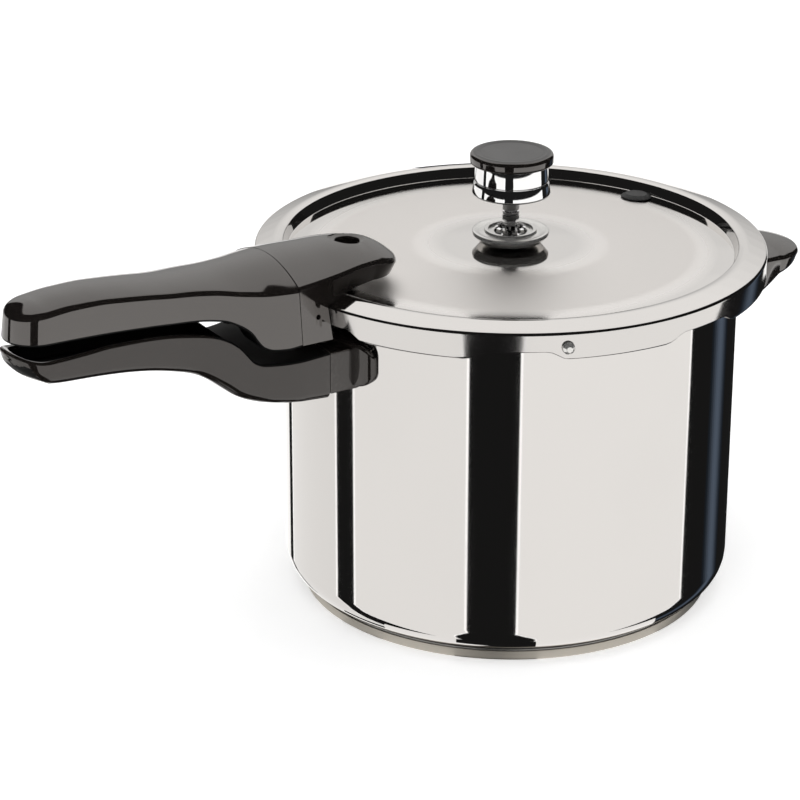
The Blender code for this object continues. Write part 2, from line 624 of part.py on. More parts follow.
def make_cover_handle_front(cover):
    start = SEAM_X + GAP / 2
    centre = -0.0874
    width_top = curve_through((start, 0.0322), (-0.1230, 0.0301), (-0.1123, 0.0276),
                              (-0.1000, 0.0246), (centre, 0.0218))
    width_bottom = curve_through((start, 0.0325), (-0.1170, 0.0325), (-0.1090, 0.0296),
                                 (-0.1000, 0.0232), (centre, 0.0170))
    ridge = curve_through((start, 0.1919), (-0.1194, 0.1924), (-0.1062, 0.1924), (-0.0929, 0.1918),
                          (centre, 0.1908))
    crease = curve_through((start, 0.1855), (-0.1123, 0.1860), (-0.0967, 0.1866), (centre, 0.1862))

    def section(x, reach, swing):
        scale = reach / width_top(x)
        upper = rounded_cap(reach, ridge(x) - 0.0012 * swing, crease(x) - 0.0018 * swing,
                            0.0026 + 0.0014 * swing)
        bottom = 0.1566
        side = width_bottom(x) * scale
        lower = rounded_cap(side, -bottom, -bottom, 0.0010)
        return upper + [(r, -z) for r, z in reversed(lower)]

    front = grip("cover_handle_front", spread(start, centre, 11), 0.0204, width_top, section,
                 PHENOLIC, cover)
    clearance = turned("cover_clearance",
                       [(0, 0.1752), (0.1100, 0.1751), (COVER_RADIUS - 0.0010, FLANGE_EDGE + 0.0006),
                        (COVER_RADIUS + GAP, FLANGE_EDGE - 0.0004),
                        (COVER_RADIUS + GAP, 0.1500), (0, 0.1500)], None, None)
    cut(front, clearance)
    cut(front, block("front_bracket_slot", (-0.1350, -0.0114, 0.1600), (-0.1086, 0.0114, 0.1824)))
    cut(front, cylinder("lock_well", 0.0058, 0.1650, 0.2000, (LOCK_X, 0), segments=32))
    dish = turned("lock_dish", [(0, 0.0060), (0.0128, 0.0060), (0.0092, 0.0), (0.0074, -0.0012),
                                (0, -0.0014)], None, None, steps=32,
                  tilt=((LOCK_X, 0, 0.1914), Vector((0.05, 0, 1))))
    cut(front, dish)


def make_sealing_ring(ring):
    profile = [(0.1098, 0.1664), (0.1098, 0.1722), (0.1108, 0.1733), (0.1134, 0.1728),
               (0.1186, 0.1716), (0.1195, 0.1706), (0.1195, 0.1664), (0.1176, 0.1664),
               (0.1170, 0.1678), (0.1128, 0.1686), (0.1120, 0.1664)]
    turned("sealing_ring", profile, RUBBER, ring, closed=True)


def make_cover_lock(lock):
    low = dome_height(abs(LOCK_X)) - COVER_SHEET - 0.0003
    pin = [(0, 0.1815), (0.0022, 0.1815), (LOCK_RADIUS, 0.1807), (LOCK_RADIUS, low - 0.0052),
           (0.0062, low - 0.0060), (0.0062, low - 0.0075), (0.0050, low - 0.0085), (0, low - 0.0085)]
    turned("cover_lock_pin", pin, CHROME, lock, steps=24, centre=(LOCK_X, 0))
    seal = [(LOCK_RADIUS + GAP, low - 0.0050), (LOCK_RADIUS + GAP, low - 0.0047),
            (0.0040, low - 0.0046), (0.0058, low - 0.0049), (0.0058, low - 0.0056)]
    turned("cover_lock_gasket", seal, RUBBER, lock, steps=24, closed=True, centre=(LOCK_X, 0))


def make_regulator(regulator):
    groove = WEIGHT_BOTTOM + 0.0062
    weight = [(0, WEIGHT_TOP), (WEIGHT_TOP_RADIUS - 0.0005, WEIGHT_TOP),
              (WEIGHT_TOP_RADIUS, WEIGHT_TOP - 0.0006), (WEIGHT_TOP_RADIUS + 0.0006, groove + 0.0008),
              (WEIGHT_TOP_RADIUS - 0.0002, groove), (WEIGHT_TOP_RADIUS + 0.0008, groove - 0.0008),
              (WEIGHT_BOTTOM_RADIUS, WEIGHT_BOTTOM + 0.0010),
              (WEIGHT_BOTTOM_RADIUS - 0.0008, WEIGHT_BOTTOM),
              (0.0060, WEIGHT_BOTTOM), (0.0046, WEIGHT_BOTTOM + 0.0014),
              (0.0030, WEIGHT_BOTTOM + 0.0018), (0.0030, 0.2040), (0, 0.2040)]
    turned("regulator_weight", weight, CHROME, regulator, steps=48)
    cap_low = WEIGHT_TOP + GAP
    cap = [(0, CAP_TOP - 0.0006), (CAP_RADIUS - 0.0042, CAP_TOP - 0.0004),
           (CAP_RADIUS - 0.0026, CAP_TOP), (CAP_RADIUS - 0.0010, CAP_TOP - 0.0005),
           (CAP_RADIUS, CAP_TOP - 0.0018), (CAP_RADIUS, cap_low + 0.0012),
           (CAP_RADIUS - 0.0010, cap_low), (0, cap_low)]
    turned("regulator_cap", cap, PHENOLIC, regulator, steps=48)


def main():
    clear_scene()
    pot = empty("pot", (0, 0, 0))
    rack = empty("rack", (0, 0, POT_FLOOR), pot)
    ring = empty("ring", (0, 0, RIM_TOP), pot)
    cover = empty("cover", (0, 0, 0), ring)
    lock = empty("lock", (LOCK_X, 0, 0), cover)
    regulator = empty("regulator", (0, 0, WEIGHT_BOTTOM - RIM_TOP), cover)

    make_pot(pot)
    make_body_handle(pot)
    make_body_handle_guard(pot)
    make_body_bracket(pot)
    make_locking_bracket(pot)
    make_helper(pot)
    make_rack(rack)
    make_sealing_ring(ring)
    make_cover_shell(cover)
    make_cover_fittings(cover)
    make_cover_handle(cover)
    make_cover_handle_front(cover)
    make_cover_lock(lock)
    make_regulator(regulator)


main()
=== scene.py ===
"""Stovetop pressure cooker: polished pot and cover, black moulded handles, regulator and studio.

Laid out as a Blender add-on and run as a script. Each operator builds one group of pieces round
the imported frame, in metres, with +Z up and the long handles along -X.
"""

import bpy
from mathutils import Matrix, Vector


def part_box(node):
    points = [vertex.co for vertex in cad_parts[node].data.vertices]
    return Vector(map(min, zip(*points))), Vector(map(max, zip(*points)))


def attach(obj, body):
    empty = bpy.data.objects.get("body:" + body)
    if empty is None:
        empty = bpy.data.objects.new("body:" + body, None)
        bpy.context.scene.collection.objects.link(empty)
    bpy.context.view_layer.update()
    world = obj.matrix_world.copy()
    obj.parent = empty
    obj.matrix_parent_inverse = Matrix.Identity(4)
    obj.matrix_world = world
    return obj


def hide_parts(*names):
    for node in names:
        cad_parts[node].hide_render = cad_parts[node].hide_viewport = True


bl_info = {
    "name": "Stovetop Pressure Cooker",
    "version": (1, 0, 0),
    "blender": (4, 5, 0),
    "location": "View3D > Sidebar > Cooker",
    "description": "Builds a stovetop pressure cooker from its frame, piece by piece",
    "category": "Object",
}

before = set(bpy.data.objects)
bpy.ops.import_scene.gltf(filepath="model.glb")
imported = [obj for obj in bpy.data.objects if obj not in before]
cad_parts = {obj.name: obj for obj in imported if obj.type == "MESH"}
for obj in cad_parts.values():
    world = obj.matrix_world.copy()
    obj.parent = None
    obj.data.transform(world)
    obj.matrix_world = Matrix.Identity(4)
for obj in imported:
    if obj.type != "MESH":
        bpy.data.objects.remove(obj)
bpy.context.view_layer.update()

import math

import bmesh
import bpy
from mathutils import Matrix, Quaternion, Vector

# ---------------------------------------------------------------- sizes read from the frame
POT_LOW, POT_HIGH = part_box("pot_body")
COVER_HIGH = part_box("cover_shell")[1]
CAP_LOW, CAP_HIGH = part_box("regulator_cap")
WEIGHT_LOW, WEIGHT_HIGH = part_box("regulator_weight")
BASE_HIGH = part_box("base_cap")[1]
RING_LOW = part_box("sealing_ring")[0]
RACK_LOW, RACK_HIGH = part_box("cooking_rack")
LOCK_LOW, LOCK_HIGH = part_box("cover_lock_pin")
BRACKET_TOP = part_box("body_handle_bracket")[1].z

RIM_TOP = POT_HIGH.z
POT_FLOOR = POT_LOW.z
COVER_RADIUS = COVER_HIGH.x
BODY_SEAM_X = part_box("body_handle")[1].x
LOCK_X = (LOCK_LOW.x + LOCK_HIGH.x) / 2

# ---------------------------------------------------------------- sizes of the shapes
POT_RADIUS = 0.1086
POT_SHEET = 0.0010
POT_CORNER = 0.0135
RIM_RADIUS = 0.1175
RIM_NOTCH_RADIUS = 0.1118
RIM_DROP = 0.0045

LUGS = 8
LUG_PITCH = 360 / LUGS
LUG_PHASE = 35.2                # degrees from +X to the middle of the first lug
POT_LUG_WIDTH = 19.0
COVER_LUG_WIDTH = 22.0
COVER_LUG_SWEEP = 5.4

COVER_SHEET = 0.0009
DOME_TOP = 0.1720
DOME_RADIUS = 0.1062
DOME_EDGE = 0.1695
FLANGE_INNER = 0.1084
FLANGE_TOP = 0.1749
FLANGE_EDGE = 0.1722
SKIRT_TOP = 0.1690
SKIRT_BOTTOM = 0.1634
LUG_BOTTOM = 0.1591
LUG_REACH = 0.1130

SEAM_X = -0.1335
TIP_CENTRE = -0.2494
TIP_RADIUS = 0.0148
ROOT_HALF_WIDTH = 0.0325
TROUGH_WALL = 0.0024
ROOT_TOP_START = -0.1720        # the body handle's top has painted shade from here to the guard, under the cover handle
FRONT_TIP = 0.0190              # length of the front piece's rounded end
UNDERSIDE = -0.12               # upward part of a normal below which a face looks down
TOP_SIDE = 0.3                  # and above which it looks up
GAP = 0.0003                    # clearance between neighbouring pieces

VENT_HOLE_RADIUS = 0.0050
LOCK_HOLE_RADIUS = 0.0046
RACK_HOLE_RADIUS = 0.0060
RACK_HOLES = ((0.0, 1), (0.0340, 6), (0.0680, 12))  # each circle's radius and its holes
HELPER_REACH = 0.1480           # where the helper handle's rounded end begins
HELPER_TIP = 0.0215
HELPER_SCREW_ANGLE = 7.0
HELPER_SCREW_HEIGHT = 0.1360
PLUG_HOLE_RADIUS = 0.0046
PLUG_ANGLE = 16.5
PLUG_ORBIT = 0.0985
RIVET_ANGLE = 248.3
RIVET_HEIGHT = 0.1654


# ---------------------------------------------------------------- settings shown to the user
class CookerSizes(bpy.types.PropertyGroup):
    turned_steps: bpy.props.IntProperty(
        name="Turned steps", description="Sides of the large turned pieces", default=288, min=96)
    small_steps: bpy.props.IntProperty(
        name="Small steps", description="Sides of the small turned pieces", default=96, min=32)
    edge_radius: bpy.props.FloatProperty(
        name="Base edge radius", description="Rounding of the inner corners of the base's skin",
        default=0.0009, unit="LENGTH", precision=5)
    crease_radius: bpy.props.FloatProperty(
        name="Handle crease radius", description="Rounding between a handle's top and side",
        default=0.0030, unit="LENGTH", precision=5)


class CookerFinishes(bpy.types.PropertyGroup):
    steel: bpy.props.FloatVectorProperty(
        name="Stainless steel", description="Colour of the polished pot and cover",
        default=(0.64, 0.622, 0.606), subtype="COLOR")
    satin: bpy.props.FloatVectorProperty(
        name="Satin steel", description="Colour of the vent disc and the stop rivet",
        default=(0.74, 0.73, 0.71), subtype="COLOR")
    aluminium: bpy.props.FloatVectorProperty(
        name="Aluminium", description="Colour of the rack and the core of the base",
        default=(0.74, 0.74, 0.73), subtype="COLOR")
    zinc: bpy.props.FloatVectorProperty(
        name="Plated steel", description="Colour of the brackets, screws and nut",
        default=(0.58, 0.59, 0.60), subtype="COLOR")
    phenolic: bpy.props.FloatVectorProperty(
        name="Black phenolic", description="Colour of the moulded handles and cap",
        default=(0.0075, 0.0062, 0.0055), subtype="COLOR")
    rubber: bpy.props.FloatVectorProperty(
        name="Black rubber", description="Colour of the ring, the gaskets and the plug",
        default=(0.020, 0.020, 0.020), subtype="COLOR")


def sizes():
    return bpy.context.scene.cooker_sizes


def finishes():
    return bpy.context.scene.cooker_finishes


# ---------------------------------------------------------------- node helpers
class Tree:
    """Short calls that add a shader node, join its inputs and give its result."""

    def __init__(self, tree):
        self.tree = tree

    def node(self, kind, inputs=None, **settings):
        made = self.tree.nodes.new(kind)
        for key, value in settings.items():
            setattr(made, key, value)
        for key, value in (inputs or {}).items():
            if isinstance(value, bpy.types.NodeSocket):
                self.tree.links.new(value, made.inputs[key])
            else:
                made.inputs[key].default_value = value
        return made

    def maths(self, operation, a, b=0.0):
        return self.node("ShaderNodeMath", {0: a, 1: b}, operation=operation).outputs[0]

    def plus(self, first, *others):
        for other in others:
            first = self.maths("ADD", first, other)
        return first

    def times(self, first, *others):
        for other in others:
            first = self.maths("MULTIPLY", first, other)
        return first

    def scaled(self, colour, factor):
        return self.node("ShaderNodeVectorMath", {0: colour, "Scale": factor},
                         operation="SCALE").outputs[0]

    def remap(self, value, low, high, to_low=0.0, to_high=1.0):
        made = self.node("ShaderNodeMapRange", {"Value": value, "From Min": low, "From Max": high,
                                                "To Min": to_low, "To Max": to_high})
        return made.outputs["Result"]

    def noise(self, vector, scale, detail=2.0, roughness=0.5):
        made = self.node("ShaderNodeTexNoise", {"Vector": vector, "Scale": scale, "Detail": detail,
                                                "Roughness": roughness})
        return made.outputs["Fac"]

    def stretched(self, vector, scale):
        made = self.node("ShaderNodeMapping", {"Vector": vector, "Scale": scale})
        return made.outputs["Vector"]

    def radius(self, place):
        """Distance from the Z axis."""
        flat = self.node("ShaderNodeVectorMath", {0: place, 1: (1, 1, 0)}, operation="MULTIPLY")
        return self.node("ShaderNodeVectorMath", {0: flat.outputs[0]},
                         operation="LENGTH").outputs["Value"]

    def height(self, place):
        return self.node("ShaderNodeSeparateXYZ", {0: place}).outputs[2]

    def turn(self, place):
        parts = self.node("ShaderNodeSeparateXYZ", {0: place}).outputs
        return self.maths("ARCTAN2", parts[1], parts[0])

    def pointiness(self):
        return self.node("ShaderNodeNewGeometry").outputs["Pointiness"]

    def turned_lines(self, place, radius, density, turns, grain):
        """Fine uneven lines round the Z axis; grain is the noise's detail and roughness."""
        across = self.node("ShaderNodeCombineXYZ", {
            0: self.times(radius, density), 1: self.times(self.turn(place), turns),
            2: self.times(self.height(place), density)})
        return self.noise(across.outputs[0], 1.0, *grain)

    def mixed(self, factor, a, b):
        made = self.node("ShaderNodeMix", data_type="RGBA")
        for index, value in ((0, factor), (6, a), (7, b)):
            if isinstance(value, bpy.types.NodeSocket):
                self.tree.links.new(value, made.inputs[index])
            else:
                made.inputs[index].default_value = value
        return made.outputs[2]


FLOAT, COLOUR = "NodeSocketFloat", "NodeSocketColor"
SATIN_PAINTED_LIGHT = 1.34               # painted light: the satin ring's colour is brightened, since its rough reflection catches the dark studio
SATIN_INNER_FADE = 0.008        # half the width over which the satin ring begins
SATIN_OUTER_FADE = 0.006        # half the width over which it ends
# painted shade: the cover's skirt colour is darkened against its top
SKIRT_PAINTED_SHADE = 0.96


def shared_group(name, *inputs):
    """Make a node group once from a function that gives its colour, roughness and height.

    inputs are (name, kind, default), and the function takes the tree, the place on the object
    and the group's inputs.
    """
    def wrap(fill):
        def group():
            if name in bpy.data.node_groups:
                return bpy.data.node_groups[name]
            made = bpy.data.node_groups.new(name, "ShaderNodeTree")
            for label, kind, default in inputs:
                socket = made.interface.new_socket(label, in_out="INPUT", socket_type=kind)
                socket.default_value = default
            for label, kind in (("Colour", COLOUR), ("Roughness", FLOAT), ("Height", FLOAT)):
                made.interface.new_socket(label, in_out="OUTPUT", socket_type=kind)
            tree = Tree(made)
            entry = tree.node("NodeGroupInput").outputs
            leave = tree.node("NodeGroupOutput").inputs
            place = tree.node("ShaderNodeTexCoord").outputs["Object"]
            for socket, value in zip(leave, fill(tree, place, entry)):
                made.links.new(value, socket)
            return made
        return group
    return wrap


@shared_group("Polished Sheet",
              ("Colour", COLOUR, (0.8, 0.8, 0.8, 1)), ("Roughness", FLOAT, 0.05),
              ("Scratches", FLOAT, 0.3), ("Smears", FLOAT, 0.3), ("Satin From", FLOAT, 0.0),
              ("Satin To", FLOAT, 0.0), ("Satin Roughness", FLOAT, 0.0),
              ("Rim Radius", FLOAT, 1.0), ("Rim Roughness", FLOAT, 0.0), ("Top Gain", FLOAT, 1.0))
def polished_sheet(tree, place, entry):
    """Polished sheet: hair scratches, faint smears, a satin ring and a lightly rubbed rim; painted
    light brightens the top and the ring, painted shade darkens the rim.
    """
    hairs = tree.noise(tree.stretched(place, (900, 900, 18)), 1.0, 3.0, 0.6)
    crossed = tree.noise(tree.stretched(place, (60, 60, 1500)), 1.0, 3.0, 0.6)
    lines = tree.maths("MAXIMUM", tree.remap(hairs, 0.62, 0.72), tree.remap(crossed, 0.66, 0.76))
    patches = tree.remap(tree.noise(place, 26.0, 3.0), 0.42, 0.72)
    scratch = tree.times(lines, patches, entry["Scratches"])
    smear = tree.times(tree.remap(tree.noise(place, 9.0, 4.0), 0.45, 0.75), entry["Smears"])
    edge = tree.remap(tree.pointiness(), 0.515, 0.56)
    radius = tree.radius(place)
    past_middle = tree.remap(tree.maths("SUBTRACT", radius, entry["Satin From"]),
                             -SATIN_INNER_FADE, SATIN_INNER_FADE)
    before_edge = tree.remap(tree.maths("SUBTRACT", entry["Satin To"], radius),
                             -SATIN_OUTER_FADE, SATIN_OUTER_FADE)
    inside = tree.times(past_middle, before_edge)
    outside = tree.maths("GREATER_THAN", radius, entry["Rim Radius"])
    rough = tree.plus(entry["Roughness"], tree.times(scratch, 0.10), tree.times(smear, 0.035),
                      tree.times(edge, 0.04), tree.times(inside, entry["Satin Roughness"]),
                      tree.times(outside, entry["Rim Roughness"]))
    # painted light and shade: inside the rim radius the colour takes the top's brightening, outside
    # it the skirt's darkening
    painted_light_gain = tree.node("ShaderNodeMix", {0: outside, 2: entry["Top Gain"], 3: SKIRT_PAINTED_SHADE}).outputs[0]
    # painted light: inside the satin ring the colour is brightened further; smears darken it
    # slightly
    shade = tree.times(painted_light_gain, tree.remap(inside, 0.0, 1.0, 1.0, SATIN_PAINTED_LIGHT),
                       tree.maths("SUBTRACT", 1.0, tree.times(smear, 0.05)))
    rings = tree.turned_lines(place, radius, 1500.0, 2.0, (3.0, 0.6))
    rubbed = tree.maths("MAXIMUM", inside, outside)
    height = tree.plus(scratch, tree.times(rings, rubbed))
    return tree.scaled(entry["Colour"], shade), rough, height


@shared_group("Brushed Round",
              ("Colour", COLOUR, (0.7, 0.7, 0.7, 1)), ("Roughness", FLOAT, 0.3),
              ("Line Density", FLOAT, 2600.0), ("Depth", FLOAT, 0.5))
def brushed_round(tree, place, entry):
    """Turned metal: fine lines that run round the Z axis, and faint stains."""
    lines = tree.turned_lines(place, tree.radius(place), entry["Line Density"], 3.0, (4.0, 0.65))
    stain = tree.remap(tree.noise(place, 40.0, 4.0), 0.35, 0.75)
    shade = tree.plus(tree.remap(lines, 0.3, 0.7, 0.90, 1.04), tree.times(stain, -0.06))
    rough = tree.plus(entry["Roughness"], tree.remap(lines, 0.3, 0.7, -0.05, 0.07))
    return tree.scaled(entry["Colour"], shade), rough, tree.times(lines, entry["Depth"])


@shared_group("Moulded Surface",
              ("Colour", COLOUR, (0.02, 0.02, 0.02, 1)), ("Roughness", FLOAT, 0.1),
              ("Grain", FLOAT, 0.2), ("Grain Scale", FLOAT, 900.0), ("Edge Wear", FLOAT, 0.3))
def moulded_surface(tree, place, entry):
    """Buffed moulding: slight ripple, dust specks and edges rubbed lighter and duller."""
    cloud = tree.noise(place, 55.0, 3.0)
    grain = tree.noise(place, entry["Grain Scale"], 2.0, 0.6)
    specks = tree.remap(tree.noise(place, 2600.0, 1.0), 0.72, 0.80)
    edge = tree.remap(tree.pointiness(), 0.52, 0.58)
    chips = tree.remap(tree.noise(place, 700.0, 3.0), 0.45, 0.62)
    wear = tree.times(edge, chips, entry["Edge Wear"])
    light = tree.node("ShaderNodeVectorMath", {0: entry["Colour"], 1: (0.05, 0.047, 0.044)},
                      operation="ADD").outputs[0]
    colour = tree.mixed(tree.plus(wear, tree.times(specks, 0.18)), entry["Colour"], light)
    rough = tree.plus(entry["Roughness"], tree.remap(cloud, 0.3, 0.7, -0.015, 0.03),
                      tree.times(wear, 0.2), tree.times(specks, 0.08))
    return colour, rough, tree.times(grain, entry["Grain"])


def surface(name, group, values, bump, metallic=1.0, **shader_values):
    """A material whose colour, roughness and bump come from one of the shared groups."""
    if name in bpy.data.materials:
        return bpy.data.materials[name]
    material = bpy.data.materials.new(name)
    material.use_nodes = True
    tree = Tree(material.node_tree)
    shader = material.node_tree.nodes["Principled BSDF"]
    shader.inputs["Metallic"].default_value = metallic
    for key, value in shader_values.items():
        shader.inputs[key.replace("_", " ")].default_value = value
    made = tree.node("ShaderNodeGroup", values, node_tree=group)
    strength, distance = bump
    relief = tree.node("ShaderNodeBump", {"Height": made.outputs["Height"], "Strength": strength,
                                          "Distance": distance})
    for target, source in (("Base Color", made.outputs["Colour"]),
                           ("Roughness", made.outputs["Roughness"]),
                           ("Normal", relief.outputs["Normal"])):
        material.node_tree.links.new(source, shader.inputs[target])
    return material


def polished(name, colour, roughness, scratches, smears, bump, **bands):
    values = {"Colour": (*colour, 1), "Roughness": roughness, "Scratches": scratches,
              "Smears": smears}
    values.update({key.replace("_", " "): value for key, value in bands.items()})
    return surface(name, polished_sheet(), values, bump)


def turned_metal(name, colour, roughness, density, depth, bump, metallic=1.0):
    return surface(name, brushed_round(),
                   {"Colour": (*colour, 1), "Roughness": roughness, "Line Density": density,
                    "Depth": depth}, bump, metallic)


def moulded(name, colour, roughness, grain, grain_scale, wear, bump, metallic=0.0,
            **shader_values):
    return surface(name, moulded_surface(),
                   {"Colour": (*colour, 1), "Roughness": roughness, "Grain": grain,
                    "Grain Scale": grain_scale, "Edge Wear": wear}, bump, metallic,
                   **shader_values)


def polished_steel():
    return polished("polished stainless steel", finishes().steel, 0.045, 0.5, 0.5,
                    (0.12, 0.00002))


def cover_steel():
    """Polished middle and flange, a satin ring on the dome and a lightly rubbed skirt, with painted
    light on the top and the ring and painted shade on the skirt.
    """
    return polished("cover stainless steel", finishes().steel, 0.05, 0.4, 0.3, (0.10, 0.00002),
                    Satin_From=0.0400, Satin_To=0.0930, Satin_Roughness=0.49,
                    Rim_Radius=COVER_RADIUS - 0.0007, Rim_Roughness=0.06, Top_Gain=1.15)


def bright_plating():
    return polished("bright plating", (0.86, 0.86, 0.86), 0.04, 0.7, 0.3, (0.15, 0.00002))


def satin_steel():
    return turned_metal("satin stainless steel", finishes().satin, 0.20, 1500.0, 1.0,
                        (0.4, 0.00006), 0.86)


def base_steel():
    return turned_metal("base stainless steel", (0.47, 0.44, 0.39), 0.46, 2200.0, 0.7,
                        (0.3, 0.00004))


def satin_aluminium():
    return turned_metal("satin aluminium", finishes().aluminium, 0.34, 1400.0, 0.8,
                        (0.4, 0.00005))


def plated_steel():
    return moulded("plated steel", finishes().zinc, 0.30, 0.8, 420.0, 0.8, (0.3, 0.00004), 1.0)


PHENOLIC_SHEEN = (1.0, 0.955, 0.925, 1.0)


def black_phenolic():
    return moulded("black phenolic", finishes().phenolic, 0.06, 0.35, 260.0, 0.25,
                   (0.08, 0.00005), IOR=2.00, Specular_Tint=PHENOLIC_SHEEN)


def shaded_lower_phenolic():
    """The body handle's and guard's copy of the black phenolic, dimmed as painted shade, since the
    cover handle shades them.
    """
    return moulded("lower black phenolic with painted shade", finishes().phenolic, 0.08, 0.35, 260.0, 0.25,
                   (0.08, 0.00005), IOR=1.66, Specular_Tint=PHENOLIC_SHEEN)


# painted shade: a near-black, weakly reflecting copy of the phenolic for faces that lie in shade
def painted_shade_phenolic():
    return moulded("black phenolic in painted shade", (0.004, 0.004, 0.004), 0.55, 0.6, 500.0, 0.1,
                   (0.2, 0.00005), IOR=1.25)


def textured_phenolic():
    return moulded("textured phenolic", finishes().phenolic, 0.34, 1.0, 1500.0, 0.5,
                   (0.45, 0.00012), IOR=1.75)


def black_rubber():
    return moulded("black rubber", finishes().rubber, 0.52, 1.0, 1900.0, 0.8, (0.5, 0.00010),
                   IOR=1.50)


# ---------------------------------------------------------------- mesh helpers
def polar(radius, degrees, height):
    turn = math.radians(degrees)
    return Vector((radius * math.cos(turn), radius * math.sin(turn), height))


def spread(start, end, count):
    return [start + (end - start) * i / (count - 1) for i in range(count)]


def smooth(value):
    value = min(1.0, max(0.0, value))
    return value * value * (3 - 2 * value)


def blend_of(a, b, share):
    return a + (b - a) * share


SHARP_ANGLE = 38.0              # degrees between faces above which an edge stays sharp


def filleted(corners, steps=6, closed=False):
    """Round the corners of an (r, z, radius) outline and give back its (r, z) points."""
    points = []
    count = len(corners)
    for i, (r, z, radius) in enumerate(corners):
        if radius == 0 or (not closed and i in (0, count - 1)):
            points.append((r, z))
            continue
        here = Vector((r, z))
        behind = Vector(corners[i - 1][:2]) - here
        ahead = Vector(corners[(i + 1) % count][:2]) - here
        half = behind.angle(ahead) / 2
        reach = min(radius / math.tan(half), behind.length * 0.49, ahead.length * 0.49)
        bisector = (behind.normalized() + ahead.normalized()).normalized()
        centre = here + bisector * (reach / math.cos(half))
        start = here + behind.normalized() * reach - centre
        end = here + ahead.normalized() * reach - centre
        sweep = start.angle_signed(end)
        for k in range(steps + 1):
            turn = -sweep * k / steps
            spoke = Vector((start.x * math.cos(turn) - start.y * math.sin(turn),
                            start.x * math.sin(turn) + start.y * math.cos(turn)))
            points.append(tuple(centre + spoke))
    return points


def new_object(name, bm, material=None):
    """Put a bmesh, in the frame's coordinates, into the scene as an object."""
    mesh = bpy.data.meshes.new(name)
    bm.to_mesh(mesh)
    bm.free()
    if material is not None:
        mesh.materials.append(material)
    obj = bpy.data.objects.new(name, mesh)
    bpy.context.scene.collection.objects.link(obj)
    return obj


def merged(bm):
    """Join points that meet and turn every face outwards."""
    bmesh.ops.remove_doubles(bm, verts=bm.verts, dist=0.000002)
    bmesh.ops.recalc_face_normals(bm, faces=bm.faces)
    return bm


def shade(mesh, sharp):
    mesh.shade_smooth()
    mesh.set_sharp_from_angle(angle=math.radians(sharp))


def finish_piece(name, bm, material, body, node=None, sharp=SHARP_ANGLE):
    """Turn a bmesh into a piece that rides on a body and may replace a CAD node."""
    obj = new_object(name, merged(bm), material)
    shade(obj.data, sharp)
    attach(obj, body)
    if node is not None:
        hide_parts(node)
    return obj


def join_loops(bm, loops, around=False, capped=False):
    """Join equal loops of points, in order; around closes each loop, capped fills both ends."""
    for a, b in zip(loops, loops[1:]):
        for i in range(len(a) if around else len(a) - 1):
            j = (i + 1) % len(a)
            bm.faces.new((a[i], a[j], b[j], b[i]))
    if capped:
        bm.faces.new(loops[0])
        bm.faces.new(reversed(loops[-1]))


def lathe(bm, outline, steps, place=None):
    """Turn an outline, or a function of the angle that gives one, about the Z axis."""
    rings = []
    for i in range(steps):
        angle = 360 * i / steps
        points = outline(angle) if callable(outline) else outline
        rings.append([polar(r, angle, z) for r, z in points])
    if place is not None:
        rings = [[place @ point for point in ring] for ring in rings]
    made = [[bm.verts.new(point) for point in ring] for ring in rings]
    join_loops(bm, made + made[:1], around=not on_axis(rings))


def on_axis(rings):
    """Whether the outline starts and ends on the axis, so that it closes there by itself."""
    half = len(rings) // 2
    first = (rings[0][0] - rings[half][0]).length
    last = (rings[0][-1] - rings[half][-1]).length
    return first < 0.000001 and last < 0.000001


def turned_piece(name, outline, material, body, node, steps=None, place=None):
    bm = bmesh.new()
    lathe(bm, outline, steps or sizes().turned_steps, place)
    bmesh.ops.dissolve_degenerate(bm, dist=0.000001, edges=bm.edges)
    return finish_piece(name, bm, material, body, node)


def tilted(pivot, direction):
    """A placement whose Z axis runs along the direction from the pivot."""
    turn = Vector(direction).normalized().to_track_quat("Z", "Y").to_matrix().to_4x4()
    return Matrix.Translation(pivot) @ turn


def round_cutter(radius, low, high, place=None, steps=48):
    bm = bmesh.new()
    lathe(bm, [(0, high), (radius, high), (radius, low), (0, low)], steps, place)
    return new_object("round cutter", merged(bm))


def block_cutter(low, high):
    bm = bmesh.new()
    bmesh.ops.create_cube(bm, size=1)
    middle = (Vector(low) + Vector(high)) / 2
    extent = Vector(high) - Vector(low)
    bm.transform(Matrix.Translation(middle) @ Matrix.Diagonal((*extent, 1)))
    return new_object("block cutter", merged(bm))


def carve(obj, cutters, operation="DIFFERENCE", sharp=SHARP_ANGLE):
    """Cut the cutters out of a piece, or join them to it, and keep only the resulting mesh."""
    for tool in cutters:
        modifier = obj.modifiers.new("carve", "BOOLEAN")
        modifier.object = tool
        modifier.operation = operation
        modifier.solver = "EXACT"
    depsgraph = bpy.context.evaluated_depsgraph_get()
    shaped = bpy.data.meshes.new_from_object(obj.evaluated_get(depsgraph))
    obj.modifiers.clear()
    obj.data = shaped
    if not shaped.polygons:
        raise RuntimeError(f"carving left nothing of {obj.name}")
    shade(shaped, sharp)
    for tool in cutters:
        bpy.data.objects.remove(tool)


def curve_through(*points):
    """Smooth curve through (position, value) points that never overshoots them."""
    xs = [p[0] for p in points]
    ys = [p[1] for p in points]
    chords = [(ys[i + 1] - ys[i]) / (xs[i + 1] - xs[i]) for i in range(len(xs) - 1)]
    slopes = [chords[0]] + [0.0] * (len(xs) - 2) + [chords[-1]]
    for i in range(1, len(xs) - 1):
        if chords[i - 1] * chords[i] > 0:
            slopes[i] = 2 * chords[i - 1] * chords[i] / (chords[i - 1] + chords[i])

    def value(x):
        if x <= xs[0]:
            return ys[0]
        if x >= xs[-1]:
            return ys[-1]
        i = max(k for k in range(len(xs) - 1) if xs[k] <= x)
        span = xs[i + 1] - xs[i]
        t = (x - xs[i]) / span
        return ((1 + 2 * t) * (1 - t) ** 2 * ys[i] + t * (1 - t) ** 2 * span * slopes[i]
                + t * t * (3 - 2 * t) * ys[i + 1] + t * t * (t - 1) * span * slopes[i + 1])

    return value


CROWN_STEPS = 12
TIP_STEPS = 36


